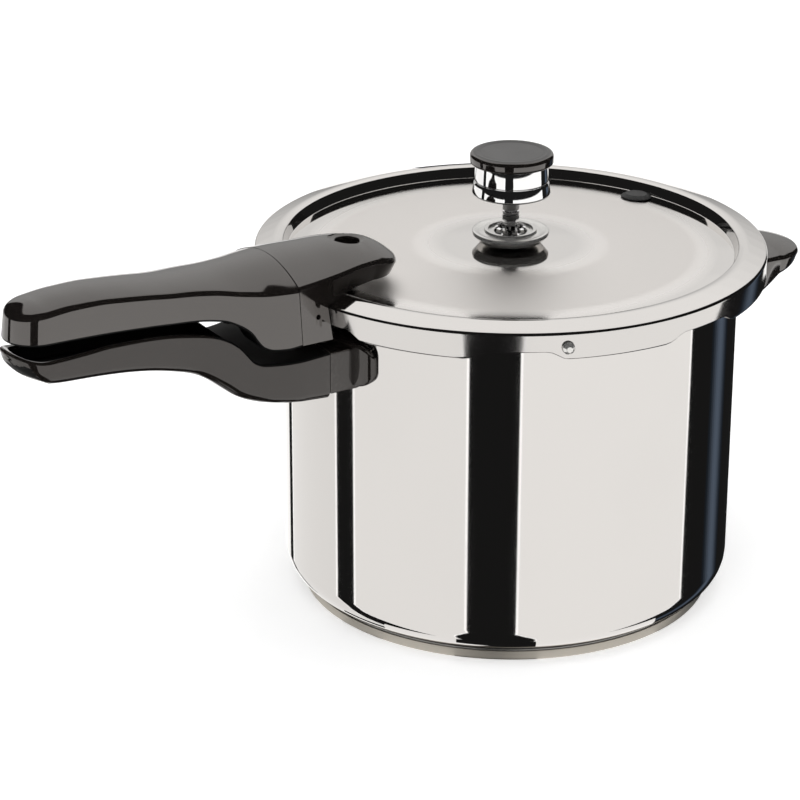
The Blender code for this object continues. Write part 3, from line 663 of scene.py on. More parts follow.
def crowned_half(reach, ridge, edge, radius, round_steps=8):
    """Half a section from the middle to the side: a gentle crown that rolls over into the side."""
    middle = reach - radius
    height = edge - radius
    lean = 0.0
    for _ in range(4):
        end = (middle + radius * math.sin(lean), height + radius * math.cos(lean))
        lean = math.atan2(2 * (ridge - end[1]), end[0])
    end = (middle + radius * math.sin(lean), height + radius * math.cos(lean))
    points = [(end[0] * i / CROWN_STEPS, ridge - (ridge - end[1]) * (i / CROWN_STEPS) ** 2)
              for i in range(CROWN_STEPS + 1)]
    for i in range(1, round_steps + 1):
        turn = lean + (math.pi / 2 - lean) * i / round_steps
        points.append((middle + radius * math.sin(turn), height + radius * math.cos(turn)))
    return points


def grip(stations, tip, half_width, section):
    """A handle with a rounded plan end, lofted through sections along its middle line.

    stations are x values from the root to the centre of the rounded end and tip is the end's
    length with its sign. section(x, reach, swing) gives half a section from the middle of the
    top round to the middle of the bottom; swing runs from 0 on the sides to 1 at the tip.
    """
    centre = stations[-1]
    end_half = half_width(centre)
    spokes = [(x, Vector((0, -1, 0)), half_width(x), 0.0) for x in stations]
    for i in range(1, TIP_STEPS):
        turn = math.pi * i / TIP_STEPS
        out = Vector((tip * math.sin(turn), -end_half * math.cos(turn), 0))
        spokes.append((centre, out.normalized(), out.length, math.sin(turn)))
    spokes += [(x, Vector((0, 1, 0)), half_width(x), 0.0) for x in reversed(stations)]
    bm = bmesh.new()
    rings = []
    for x, direction, reach, swing in spokes:
        ring = section(x, reach, swing)
        rings.append([bm.verts.new(Vector((x, 0, z)) + direction * r) for r, z in ring])
    join_loops(bm, rings)
    bm.faces.new(rings[0] + rings[-1][::-1])
    return bm


def paint_shade_on(piece, chosen):
    """Give the chosen faces of a moulding a darker, duller copy of its material: painted shade on
    faces that lie in shade.
    """
    piece.data.materials.append(painted_shade_phenolic())
    for face in piece.data.polygons:
        if chosen(face):
            face.material_index = 1


def repaint(node, material):
    """Give a CAD node that keeps its shape a finer finish."""
    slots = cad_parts[node].data.materials
    slots.clear()
    slots.append(material)


# ---------------------------------------------------------------- pot and base
def lug_share(angle, flat, sweep):
    """1 on a lug's level part, 0 between the lugs, and a smooth step over the sweep."""
    off = abs((angle - LUG_PHASE + LUG_PITCH / 2) % LUG_PITCH - LUG_PITCH / 2)
    return 1 - smooth((off - flat / 2) / sweep)


def pot_outline(angle):
    share = lug_share(angle, POT_LUG_WIDTH, 1.4)
    rim = blend_of(RIM_NOTCH_RADIUS, RIM_RADIUS, share)
    lip = RIM_TOP - blend_of(POT_SHEET + 0.0003, RIM_DROP, share)
    inner = POT_RADIUS - POT_SHEET
    floor = POT_FLOOR + POT_SHEET
    return filleted([
        (0, floor, 0), (inner, floor, POT_CORNER - POT_SHEET), (inner, RIM_TOP, 0.0009),
        (rim, RIM_TOP, 0.0010), (rim, lip, 0.0003), (rim - POT_SHEET, lip, 0.0003),
        (rim - POT_SHEET, RIM_TOP - POT_SHEET, 0.0003),
        (POT_RADIUS, RIM_TOP - POT_SHEET, 0.0012), (POT_RADIUS, POT_FLOOR, POT_CORNER),
        (0, POT_FLOOR, 0)], steps=8)


class COOKER_OT_pot(bpy.types.Operator):
    """Build the polished pot with its lugged rim"""

    bl_idname = "cooker.pot"
    bl_label = "Pot"

    def execute(self, context):
        turned_piece("polished_pot", pot_outline, polished_steel(), "pot", "pot_body")
        return {"FINISHED"}


class COOKER_OT_base(bpy.types.Operator):
    """Build the clad base under the pot"""

    bl_idname = "cooker.base"
    bl_label = "Base"

    def execute(self, context):
        radius = BASE_HIGH.x
        top = BASE_HIGH.z
        sheet = 0.0006
        edge = sizes().edge_radius
        skin = filleted([(0, sheet, 0), (radius - 0.0012, sheet, edge),
                         (radius - sheet, 0.0022, edge), (radius - sheet, top, 0.0002),
                         (radius, top, 0.0002), (radius, 0, 0.0013), (0, 0, 0)])
        turned_piece("clad_base_skin", skin, base_steel(), "pot", "base_cap")
        low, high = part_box("base_core")
        core = filleted([(0, high.z, 0), (high.x, high.z, 0.0008), (high.x, low.z, 0.0014),
                         (0, low.z, 0)])
        turned_piece("clad_base_core", core, satin_aluminium(), "pot", "base_core")
        return {"FINISHED"}


# ---------------------------------------------------------------- cover
def dome_height(radius):
    return DOME_TOP - (DOME_TOP - DOME_EDGE) * (radius / DOME_RADIUS) ** 2


def cover_top():
    dome = [(r, dome_height(r)) for r in spread(0, 0.1030, 18)]
    step = filleted([dome[-1] + (0,), (0.1066, DOME_EDGE - 0.0001, 0.0004),
                     (FLANGE_INNER, FLANGE_TOP - 0.0006, 0.0010),
                     (FLANGE_INNER + 0.0034, FLANGE_TOP + 0.0001, 0.0070),
                     (COVER_RADIUS, FLANGE_EDGE, 0.0015), (COVER_RADIUS, SKIRT_TOP, 0)], steps=10)
    return dome[:-1] + step


def cover_under(top):
    under = []
    for i, (r, z) in enumerate(top[:-1]):
        ahead = Vector(top[i + 1])
        along = (ahead - Vector(top[max(i - 1, 0)])).normalized()
        under.append((max(r + along.y * COVER_SHEET, 0), z - along.x * COVER_SHEET))
    return under


def cover_outline(angle, top, under):
    share = lug_share(angle, COVER_LUG_WIDTH, COVER_LUG_SWEEP)
    bottom = blend_of(SKIRT_BOTTOM, LUG_BOTTOM, share)
    turn_in = smooth((share - 0.80) / 0.20)
    inside = COVER_RADIUS - COVER_SHEET
    reach = blend_of(inside - 0.0002, LUG_REACH, turn_in)
    lip = filleted([(COVER_RADIUS, SKIRT_TOP, 0), (COVER_RADIUS, bottom, 0.0018),
                    (reach, bottom, 0.0003), (reach, bottom + 0.0011, 0.0003),
                    (inside, bottom + 0.0012, 0.0004), (inside, SKIRT_TOP - 0.0005, 0)], steps=5)
    return top[:-1] + lip + under[::-1]


def plug_place():
    lean = math.atan(2 * (DOME_TOP - DOME_EDGE) * PLUG_ORBIT / DOME_RADIUS ** 2)
    return tilted(polar(PLUG_ORBIT, PLUG_ANGLE, dome_height(PLUG_ORBIT)),
                  polar(math.sin(lean), PLUG_ANGLE, math.cos(lean)))


class COOKER_OT_cover(bpy.types.Operator):
    """Build the domed cover with its skirt and turned-in lugs"""

    bl_idname = "cooker.cover"
    bl_label = "Cover"

    def execute(self, context):
        top = cover_top()
        under = cover_under(top)
        shell = turned_piece("polished_cover", lambda angle: cover_outline(angle, top, under),
                             cover_steel(), "cover", "cover_shell")
        lock_place = Matrix.Translation((LOCK_X, 0, 0))
        carve(shell, [round_cutter(VENT_HOLE_RADIUS, 0.160, 0.180),
                      round_cutter(LOCK_HOLE_RADIUS, 0.160, 0.175, lock_place),
                      round_cutter(PLUG_HOLE_RADIUS, -0.006, 0.006, plug_place())])
        return {"FINISHED"}


class COOKER_OT_plug(bpy.types.Operator):
    """Build the overpressure plug and the stop rivet"""

    bl_idname = "cooker.plug"
    bl_label = "Overpressure plug and rivet"

    def execute(self, context):
        steps = sizes().small_steps
        plug = filleted([(0, 0.0023, 0), (0.0052, 0.0023, 0.0010), (0.0076, 0.0009, 0.0006),
                         (0.0076, 0.0004, 0.0001), (0.0042, 0.0004, 0.0002),
                         (0.0042, -0.0013, 0.0002), (0.0064, -0.0014, 0.0003),
                         (0.0064, -0.0026, 0.0005), (0.0040, -0.0042, 0.0005), (0, -0.0042, 0)])
        turned_piece("rubber_plug", plug, black_rubber(), "cover", "overpressure_plug", steps,
                     plug_place())
        rivet = filleted([(0, 0.0026, 0), (0.0014, 0.0026, 0.0008), (0.0028, 0.0013, 0.0012),
                          (0.0030, 0, 0.0002), (0, 0, 0)])
        place = tilted(polar(COVER_RADIUS + GAP, RIVET_ANGLE, RIVET_HEIGHT),
                       polar(1, RIVET_ANGLE, 0))
        turned_piece("bright_rivet", rivet, satin_steel(), "cover", "stop_rivet", steps, place)
        return {"FINISHED"}


# ---------------------------------------------------------------- vent
def hexagon(bm, radius, low, high, bevel):
    made = bmesh.ops.create_cone(bm, cap_ends=True, segments=6, radius1=radius, radius2=radius,
                                 depth=high - low,
                                 matrix=Matrix.Translation((0, 0, (low + high) / 2)))
    edges = {edge for vert in made["verts"] for edge in vert.link_edges}
    bmesh.ops.bevel(bm, geom=list(edges), offset=bevel, segments=2, profile=0.5, affect="EDGES")


class COOKER_OT_vent(bpy.types.Operator):
    """Build the vent pipe with its hexagonal stem, notched collar and dished disc"""

    bl_idname = "cooker.vent"
    bl_label = "Vent pipe"

    def execute(self, context):
        steps = sizes().small_steps
        pipe = filleted([(0.0010, 0.2035, 0), (0.0017, 0.2035, 0.0003), (0.0024, 0.2020, 0.0005),
                         (0.0024, 0.1962, 0), (0.0030, 0.1960, 0), (0.0030, 0.1882, 0),
                         (0.0040, 0.1880, 0.0003), (0.0040, 0.1866, 0.0003), (0.0030, 0.1864, 0),
                         (0.0030, 0.1775, 0.0002), (0.0054, 0.1768, 0.0003), (0.0054, 0.1724, 0),
                         (0.0044, 0.1723, 0), (0.0044, 0.1610, 0), (0.0010, 0.1610, 0)],
                        closed=True)
        stem = turned_piece("vent_stem", pipe, bright_plating(), "cover", "vent_pipe", steps=steps)
        for name, low, high in (("lower", 0.1777, 0.1862), ("upper", 0.1885, 0.1958)):
            bm = bmesh.new()
            hexagon(bm, 0.0040, low, high, 0.0002)
            part = finish_piece(f"vent_hexagon_{name}", bm, bright_plating(), "cover",
                                sharp=20.0)
            carve(part, [round_cutter(0.0031, 0.170, 0.200)], sharp=20.0)
        disc = filleted([(0.0078, 0.1727, 0.0002), (0.0078, 0.1781, 0.0003),
                         (0.0104, 0.1780, 0.0002), (0.0107, 0.1792, 0.0003),
                         (0.0123, 0.1792, 0.0003), (0.0127, 0.1780, 0.0003),
                         (0.0148, 0.1779, 0.0003), (0.0172, 0.1788, 0.0004),
                         (0.0184, 0.1785, 0.0005), (0.0183, 0.1769, 0.0004),
                         (0.0160, 0.1743, 0.0010), (0.0120, 0.1728, 0.0008)], closed=True)
        turned_piece("vent_dish", disc, satin_steel(), "cover", "vent_disc", steps=steps)
        self.add_notched_collar()
        return {"FINISHED"}

    def add_notched_collar(self):
        """A ring of upright teeth round the foot of the pipe, with dark gaps between them."""
        bm = bmesh.new()
        teeth = 10
        for k in range(teeth):
            sections = spread(360 * k / teeth - 11, 360 * k / teeth + 11, 5)
            corners = ((0.0060, 0.1750), (0.0073, 0.1750), (0.0073, 0.1799), (0.0060, 0.1803))
            loops = [[bm.verts.new(polar(r, a, z)) for r, z in corners] for a in sections]
            join_loops(bm, loops, around=True, capped=True)
        finish_piece("vent_collar", bm, bright_plating(), "cover")


# ---------------------------------------------------------------- long handles
def long_half_width():
    """Plan shared by the two long handles: slim at the grip, flaring towards the pot."""
    return curve_through((TIP_CENTRE, TIP_RADIUS), (-0.2350, 0.0152), (-0.2145, 0.0161),
                         (-0.2045, 0.0166), (-0.1950, 0.0170), (-0.1850, 0.0178),
                         (-0.1710, 0.0208), (-0.1600, 0.0248), (-0.1500, 0.0283),
                         (-0.1400, 0.0312), (SEAM_X, ROOT_HALF_WIDTH))


def long_stations():
    """Where both long handles have sections, beyond their roots."""
    return spread(-0.1452, -0.1780, 32) + spread(-0.1800, TIP_CENTRE, 30)


class COOKER_OT_cover_handle(bpy.types.Operator):
    """Build the cover's long handle and its front piece with the lock well"""

    bl_idname = "cooker.cover_handle"
    bl_label = "Cover handle"

    def execute(self, context):
        self.build_grip()
        self.build_front()
        return {"FINISHED"}

    def build_grip(self):
        ridge = curve_through((-0.2560, 0.1912), (-0.2487, 0.1924), (-0.2390, 0.1938),
                              (-0.2269, 0.1942), (-0.2147, 0.1936), (-0.2024, 0.1924),
                              (-0.1900, 0.1911), (-0.1774, 0.1902), (-0.1647, 0.1900),
                              (-0.1519, 0.1906), (SEAM_X, 0.1919))
        crease = curve_through((-0.2560, 0.1898), (-0.2488, 0.1908), (-0.2370, 0.1920),
                               (-0.2251, 0.1922), (-0.2133, 0.1914), (-0.2014, 0.1903),
                               (-0.1894, 0.1889), (-0.1779, 0.1881), (-0.1702, 0.1874),
                               (-0.1566, 0.1854), (-0.1459, 0.1845), (SEAM_X, 0.1846))
        bottom = curve_through((-0.2560, 0.1750), (-0.2258, 0.1748), (-0.2019, 0.1740),
                               (-0.1899, 0.1733), (-0.1782, 0.1729), (-0.1673, 0.1716),
                               (-0.1611, 0.1690), (-0.1558, 0.1649), (-0.1527, 0.1600),
                               (-0.1506, 0.1575), (-0.1463, 0.1558), (-0.1407, 0.1556),
                               (SEAM_X, 0.1566))
        draft = curve_through((-0.1950, 0.0), (-0.1700, 0.0009), (-0.1500, 0.0022),
                              (SEAM_X, 0.0026))
        roll = sizes().crease_radius

        def section(x, reach, swing):
            narrow = draft(x) if swing == 0 else 0.0012 * swing
            upper = crowned_half(reach - narrow, ridge(x), crease(x) - 0.0004 - 0.0008 * swing,
                                 roll + 0.0012 * swing)
            lower = crowned_half(reach, -bottom(x), -bottom(x), 0.0012, round_steps=4)
            return upper + [(r, -z) for r, z in reversed(lower)]

        stations = spread(SEAM_X - GAP / 2, -0.1440, 8) + long_stations()
        bm = grip(stations, -TIP_RADIUS, long_half_width(), section)
        handle = finish_piece("cover_grip", bm, black_phenolic(), "cover", "cover_handle")
        carve(handle, [block_cutter((-0.2000, -0.0120, 0.1500), (-0.1300, 0.0120, 0.1826))])
        # painted shade on the faces that look down
        paint_shade_on(handle, lambda face: face.normal.z < UNDERSIDE)

    def build_front(self):
        start = SEAM_X + GAP / 2
        centre = -0.0874
        width_top = curve_through((start, 0.0299), (-0.1230, 0.0284), (-0.1123, 0.0264),
                                  (-0.1000, 0.0240), (centre, 0.0214))
        width_bottom = curve_through((start, 0.0325), (-0.1170, 0.0325), (-0.1090, 0.0280),
                                     (-0.1000, 0.0180), (centre, 0.0100))
        ridge = curve_through((start, 0.1919), (-0.1194, 0.1924), (-0.1062, 0.1924),
                              (-0.0929, 0.1918), (centre, 0.1908))
        crease = curve_through((start, 0.1846), (-0.1123, 0.1854), (-0.0967, 0.1864),
                               (centre, 0.1862))
        bottom = 0.1566
        roll = sizes().crease_radius

        def section(x, reach, swing):
            scale = reach / width_top(x)
            upper = crowned_half(reach, ridge(x), crease(x) - 0.0024 * swing,
                                 roll - 0.0004 + 0.0018 * swing)
            side = width_bottom(x) * scale
            lower = crowned_half(side, -bottom, -bottom, 0.0010, round_steps=4)
            return upper + [(r, -z) for r, z in reversed(lower)]

        bm = grip(spread(start, centre, 40), FRONT_TIP, width_top, section)
        front = finish_piece("cover_grip_front", bm, black_phenolic(), "cover",
                             "cover_handle_front")
        room = bmesh.new()
        lathe(room, [(0, 0.1755), (0.1100, 0.1753), (COVER_RADIUS - 0.0010, FLANGE_EDGE + 0.0006),
                     (COVER_RADIUS + GAP, FLANGE_EDGE - 0.0004), (COVER_RADIUS + GAP, 0.1500),
                     (0, 0.1500)], 192)
        well = bmesh.new()
        lathe(well, filleted([(0, 0.0060, 0), (0.0128, 0.0060, 0), (0.0084, -0.0009, 0.0030),
                              (0.0056, -0.0016, 0.0009), (0.0056, -0.0260, 0), (0, -0.0260, 0)]),
              96, tilted((LOCK_X, 0, 0.1914), (0.03, 0, 1)))
        pin_hole = tilted((-0.1243, -0.0330, 0.1686), (0, 1, 0))
        carve(front, [round_cutter(0.0012, -0.0040, 0.0052, pin_hole, 32),
                      new_object("cover room", merged(room)),
                      block_cutter((-0.1350, -0.0114, 0.1600), (-0.1086, 0.0114, 0.1824)),
                      new_object("lock well", merged(well))])


class COOKER_OT_body_handle(bpy.types.Operator):
    """Build the pot's long handle and the guard that joins it to the wall"""

    bl_idname = "cooker.body_handle"
    bl_label = "Body handle"

    def execute(self, context):
        self.build_grip()
        self.build_guard()
        return {"FINISHED"}

    def build_grip(self):
        top = curve_through((-0.2560, 0.1670), (-0.2439, 0.1674), (-0.2320, 0.1682),
                            (-0.2201, 0.1692), (-0.2081, 0.1693), (-0.1960, 0.1688),
                            (-0.1841, 0.1674), (-0.1728, 0.1656), (-0.1664, 0.1632),
                            (-0.1612, 0.1594), (-0.1581, 0.1555), (-0.1550, 0.1518),
                            (-0.1507, 0.1500), (-0.1441, 0.1497), (BODY_SEAM_X, 0.1508))
        bottom = curve_through((-0.2560, 0.1572), (-0.2490, 0.1554), (-0.2430, 0.1548),
                               (-0.2265, 0.1543), (-0.2145, 0.1536), (-0.2025, 0.1522),
                               (-0.1899, 0.1496), (-0.1802, 0.1468), (-0.1734, 0.1432),
                               (-0.1669, 0.1382), (-0.1617, 0.1342), (-0.1566, 0.1318),
                               (-0.1488, 0.1298), (-0.1376, 0.1284), (BODY_SEAM_X, 0.1272))

        def section(x, reach, swing):
            lip = 0.0045 * swing ** 2
            upper = crowned_half(reach, top(x) - 0.0006, top(x) + lip, 0.0011, round_steps=5)
            roll = 0.0048 + 0.0024 * swing
            lower = crowned_half(reach - 0.0008 * swing, -bottom(x) + 0.0004 - 0.0008 * swing,
                                 -bottom(x) - 0.0006 - 0.0056 * swing, roll)
            return upper + [(r, -z) for r, z in reversed(lower)]

        stations = spread(BODY_SEAM_X, -0.1440, 10) + long_stations()
        bm = grip(stations, -TIP_RADIUS - 0.0014, long_half_width(), section)
        # painted shade: the body handle takes the dimmed copy of the phenolic
        handle = finish_piece("body_grip", bm, shaded_lower_phenolic(), "pot", "body_handle")
        tools = [block_cutter((-0.1610, -0.0115, 0.1388), (-0.1150, 0.0115, 0.1426)),
                 self.trough(top, bottom)]
        for x in (-0.1330, -0.1520):
            place = Matrix.Translation((x, 0, 0))
            tools.append(round_cutter(0.0020, 0.1330, 0.1470, place))
            tools.append(round_cutter(0.0042, 0.1200, 0.1350, place))
        carve(handle, tools)
        half = long_half_width()

        # painted shade in the trough and on the top near the guard, where the cover handle hangs
        # close over it
        def in_painted_shade(face):
            x, y, z = face.center
            trough = (abs(y) < half(x) - TROUGH_WALL + GAP
                      and bottom(x) + 0.0030 < z < top(x) - 0.0009)
            return trough or (x > ROOT_TOP_START and face.normal.z > TOP_SIDE)

        paint_shade_on(handle, in_painted_shade)

    def trough(self, top, bottom):
        """The hollow that opens along the top of the handle, inside its rim."""
        half = long_half_width()

        def section(x, reach, swing):
            depth = max(bottom(x) + 0.0045 + 0.0030 * swing, BRACKET_TOP + 0.0008)
            return [(0, 0.1800), (reach, 0.1800), (reach, top(x) - 0.0014), (reach - 0.0012, depth),
                    (0, depth)]

        bm = grip(spread(-0.1605, TIP_CENTRE, 34), TROUGH_WALL - TIP_RADIUS,
                  lambda x: half(x) - TROUGH_WALL, section)
        return new_object("trough", merged(bm))

    def build_guard(self):
        """A block against the handle that flares into a rounded flange on the pot's wall."""
        low, high = 0.1306, 0.1508
        half = ROOT_HALF_WIDTH
        front = -0.1000                 # inside the pot, which is cut away later
        back = BODY_SEAM_X + GAP
        bm = bmesh.new()
        bmesh.ops.create_cube(bm, size=1)
        bm.transform(Matrix.Translation(((back + front) / 2, 0, (low + high) / 2))
                     @ Matrix.Diagonal((front - back, 2 * half, high - low, 1)))
        upright = [e for e in bm.edges
                   if abs(e.verts[0].co.z - e.verts[1].co.z) > 0.01 and e.verts[0].co.x > -0.11]
        bmesh.ops.bevel(bm, geom=upright, offset=0.0060, segments=8, profile=0.5, affect="EDGES")
        level = [e for e in bm.edges if abs(e.verts[0].co.z - e.verts[1].co.z) < 0.001]
        bmesh.ops.bevel(bm, geom=level, offset=0.0008, segments=3, profile=0.5, affect="EDGES")
        # painted shade: the guard takes the dimmed copy of the phenolic
        guard = finish_piece("body_guard", bm, shaded_lower_phenolic(), "pot", "body_handle_guard")
        carve(guard, [self.flange()], "UNION")
        wall = round_cutter(POT_RADIUS + GAP, 0.1200, 0.1600, steps=288)
        carve(guard, [wall, block_cutter((-0.1250, -0.0114, 0.1389), (-0.1050, 0.0114, 0.1425))])

    def flange(self):
        """A pillow-edged strip that wraps the wall behind the guard."""
        bm = bmesh.new()
        outer, low, high = 0.1130, 0.1325, 0.1535
        back = POT_RADIUS - 0.0030      # inside the wall, which is cut away later
        half_angle = 22.6
        columns = 48
        loops = []
        for i in range(columns + 1):
            t = math.sin(math.pi * (i / columns - 0.5))
            edge = min(1.0, (1 - abs(t)) / 0.16)
            out = blend_of(POT_RADIUS + 0.0006, outer, math.sqrt(1 - (1 - edge) ** 2))
            shrink = 0.0075 * (1 - math.sqrt(1 - (1 - min(1.0, (1 - abs(t)) / 0.24)) ** 2))
            lower, upper = low + shrink, high - shrink
            corners = filleted([(back, lower, 0), (out, lower, 0.0016), (out, upper, 0.0016),
                                (back, upper, 0)], steps=5)
            loops.append([bm.verts.new(polar(r, 180 + t * half_angle, z)) for r, z in corners])
        join_loops(bm, loops, around=True, capped=True)
        return new_object("guard flange", merged(bm))


class COOKER_OT_helper_handle(bpy.types.Operator):
    """Build the short helper handle opposite the long ones"""

    bl_idname = "cooker.helper_handle"
    bl_label = "Helper handle"

    def execute(self, context):
        width = curve_through((0.1120, 0.0290), (0.1300, 0.0275), (HELPER_REACH, 0.0240))
        top = curve_through((0.1120, 0.1490), (0.1400, 0.1460), (HELPER_REACH, 0.1450))
        bottom = curve_through((0.1120, 0.1190), (0.1400, 0.1305), (HELPER_REACH, 0.1345),
                               (0.1600, 0.1385))

        def section(x, reach, swing):
            upper = crowned_half(reach, top(x) + 0.0032, top(x) - 0.0006, 0.0022)
            rise = 0.0052 * swing
            lower = crowned_half(reach - 0.0010, -bottom(x) - 0.4 * rise, -bottom(x) - rise, 0.0024)
            return upper + [(r, -z) for r, z in reversed(lower)]

        bm = grip(spread(0.1122, HELPER_REACH, 24), HELPER_TIP, width, section)
        handle = finish_piece("helper_grip", bm, black_phenolic(), "pot", "helper_handle")
        tools = [round_cutter(POT_RADIUS + 0.0028, 0.1000, 0.1700, steps=288)]
        for angle in (HELPER_SCREW_ANGLE, -HELPER_SCREW_ANGLE):
            place = tilted(polar(POT_RADIUS + 0.0026, angle, HELPER_SCREW_HEIGHT),
                           polar(1, angle, 0))
            tools.append(round_cutter(0.0022, -0.0060, 0.0160, place, steps=32))
        carve(handle, tools)
        return {"FINISHED"}


# ---------------------------------------------------------------- regulator, lock, ring, rack
class COOKER_OT_regulator(bpy.types.Operator):
    """Build the regulator's plated weight and its black cap"""

    bl_idname = "cooker.regulator"
    bl_label = "Pressure regulator"

    def execute(self, context):
        steps = sizes().small_steps
        low, high = WEIGHT_LOW.z, WEIGHT_HIGH.z
        top = 0.0171
        wide = WEIGHT_HIGH.x
        groove = low + 0.0062
        bore = 0.0030
        weight = filleted([(0, high, 0), (top, high, 0.0005),
                           (top + 0.0006, groove + 0.0009, 0.0003), (top - 0.0001, groove, 0.0003),
                           (top + 0.0008, groove - 0.0009, 0.0003), (wide, low, 0.0009),
                           (0.0060, low, 0.0004), (0.0046, low + 0.0014, 0.0003),
                           (bore, low + 0.0018, 0.0002), (bore, 0.2040, 0), (0, 0.2040, 0)])
        turned_piece("plated_weight", weight, bright_plating(), "regulator", "regulator_weight",
                     steps=steps)
        radius = CAP_HIGH.x
        top = CAP_HIGH.z
        cap = filleted([(0, top - 0.0007, 0), (radius - 0.0050, top - 0.0005, 0.0010),
                        (radius - 0.0030, top, 0.0012), (radius, top - 0.0006, 0.0022),
                        (radius, CAP_LOW.z, 0.0011), (0, CAP_LOW.z, 0)], steps=9)
        made = turned_piece("moulded_cap", cap, black_phenolic(), "regulator", "regulator_cap",
                            steps=steps)
        made.data.materials.append(textured_phenolic())
        for face in made.data.polygons:
            if face.center.z > top - 0.0008 and face.center.to_2d().length < radius - 0.0016:
                face.material_index = 1
        return {"FINISHED"}


class COOKER_OT_inner_parts(bpy.types.Operator):
    """Build the sealing ring and the cooking rack inside the pot"""

    bl_idname = "cooker.inner_parts"
    bl_label = "Sealing ring and rack"

    def execute(self, context):
        low = RING_LOW.z
        ring = filleted([(0.1098, low, 0.0002), (0.1098, 0.1722, 0.0006), (0.1108, 0.1733, 0.0005),
                         (0.1190, 0.1716, 0.0006), (0.1195, 0.1706, 0.0004), (0.1195, low, 0.0002),
                         (0.1176, low, 0.0003), (0.1170, 0.1678, 0.0004), (0.1128, 0.1686, 0.0004),
                         (0.1120, low, 0.0003)], closed=True)
        turned_piece("rubber_ring", ring, black_rubber(), "ring", "sealing_ring")
        radius, high, low, sheet = RACK_HIGH.x, RACK_HIGH.z, RACK_LOW.z, 0.0012
        rack = filleted([(0, high, 0), (radius, high, 0.0022), (radius, low, 0.0003),
                         (radius - sheet, low, 0.0003), (radius - sheet, high - sheet, 0.0012),
                         (0, high - sheet, 0)])
        plate = turned_piece("pierced_rack", rack, satin_aluminium(), "rack", "cooking_rack")
        holes = [round_cutter(RACK_HOLE_RADIUS, high - 0.003, high + 0.003,
                              Matrix.Translation(polar(orbit, 360 * i / count, 0)))
                 for orbit, count in RACK_HOLES for i in range(count)]
        carve(plate, holes)
        return {"FINISHED"}


class COOKER_OT_hardware(bpy.types.Operator):
    """Finish the brackets, screws, gaskets, nut and lock pin"""

    bl_idname = "cooker.hardware"
    bl_label = "Hardware"

    def execute(self, context):
        for node in ("body_handle_bracket", "locking_bracket", "helper_bracket",
                     "cover_handle_bracket", "body_handle_screw_front", "body_handle_screw_rear",
                     "helper_screw_left", "helper_screw_right", "cover_handle_screw_front",
                     "cover_handle_screw_rear", "vent_nut"):
            repaint(node, plated_steel())
        for node in ("vent_gasket", "cover_lock_gasket"):
            repaint(node, black_rubber())
        repaint("cover_lock_pin", bright_plating())
        return {"FINISHED"}


# ---------------------------------------------------------------- studio
CAMERA_SIDE = 238.0             # degrees round the Z axis from +X to the camera's side
CAMERA_PLACE = Vector((-0.7674, -1.1293, 0.6553))
CAMERA_TARGET = Vector((-0.0444, 0.0278, 0.0904))
CAMERA_ROLL = 0.00306
CAMERA_LENS = 136.4

FLOOR_LEVEL = -0.0002           # just under the base
FLOOR_REACH = 5.0
FLOOR_RISE = 1.5                # radius of the curve from the floor to the wall
WALL_TOP = 5.0
FLOOR_SIDES = 60
FLOOR_GLOW = 0.42
WORLD_GLOW = 0.012
LAMPS = (((0, 0, 2.6), 42.0, 3.0), ((-1.4, -2.0, 1.6), 12.0, 1.6))  # place, watts and size

CARD_RADIUS = 1.6
LOW_BAND = (-5.0, 0.06)         # heights of the cards that the upright metal mirrors
BACK_BAND = (-0.42, 0.06)
HIGH_BAND = (0.06, 5.0)         # heights of the card that the cover mirrors
LOW_CARDS = ((-147, -98, 1.06), (-86, -21, 1.15), (4, 101.5, 1.19))  # start, end, strength
BACK_CARDS = ((186, 207, LOW_BAND), (150, 177, BACK_BAND), (182, 187, BACK_BAND))
BACK_STRENGTH = 1.19
EDGE_STRENGTH = 1.65
EDGE_WIDTH = 1.2                # degrees of brighter edge on each side of a low card
EDGE_DEPTH = 0.35               # height of the brighter edge below it
EDGE_SETBACK = 0.02             # how far the bright edge stands behind its card
CORNER_ANGLE = 38.0             # degrees below level where a low card's corner starts
CORNER_FALL = 1.35              # how fast its bottom edge falls from the corner inwards
STEEPEST = 1.4                  # radians, where the bottom edge stops falling
STREAKS = 9
STREAK_START = 121.0
STREAK_WIDTH = 2.2
HIGH_BANDS = 36
WING_BOTTOM = 1.2               # above this height the high card widens
WING_RISE = 2.0
RING_GLOW_RADII = (0.080, 0.1113)   # ring under the pot's rounded bottom corner
RING_GLOW_LEVEL = -0.001


def emitter(name, strength, tint=(1.0, 0.99, 0.975)):
    material = bpy.data.materials.new(name)
    material.use_nodes = True
    inputs = material.node_tree.nodes["Principled BSDF"].inputs
    for key, value in (("Base Color", (0, 0, 0, 1)), ("Specular IOR Level", 0),
                       ("Emission Color", (*tint, 1)), ("Emission Strength", strength)):
        inputs[key].default_value = value
    return material


def reflected_only(name, bm, material):
    """A studio card that shows in reflections alone."""
    obj = new_object(name, bm, material)
    obj.visible_camera = False
    obj.visible_shadow = False
    obj.visible_diffuse = False


def card(name, start, end, band, material, radius=CARD_RADIUS, rounded=False):
    """A curved studio card; start and end are degrees from the camera's side, right positive."""
    bm = bmesh.new()
    loops = []
    for a in spread(start, end, max(2, int(end - start)) + 1):
        bottom = band[0]
        if rounded:
            inward = min(a - start, end - a)
            slope = math.radians(CORNER_ANGLE + CORNER_FALL * inward)
            bottom = max(band[0], -radius * math.tan(min(slope, STEEPEST)))
        loops.append([bm.verts.new(polar(radius, CAMERA_SIDE + a, z)) for z in (bottom, band[1])])
    join_loops(bm, loops)
    reflected_only(name, bm, material)


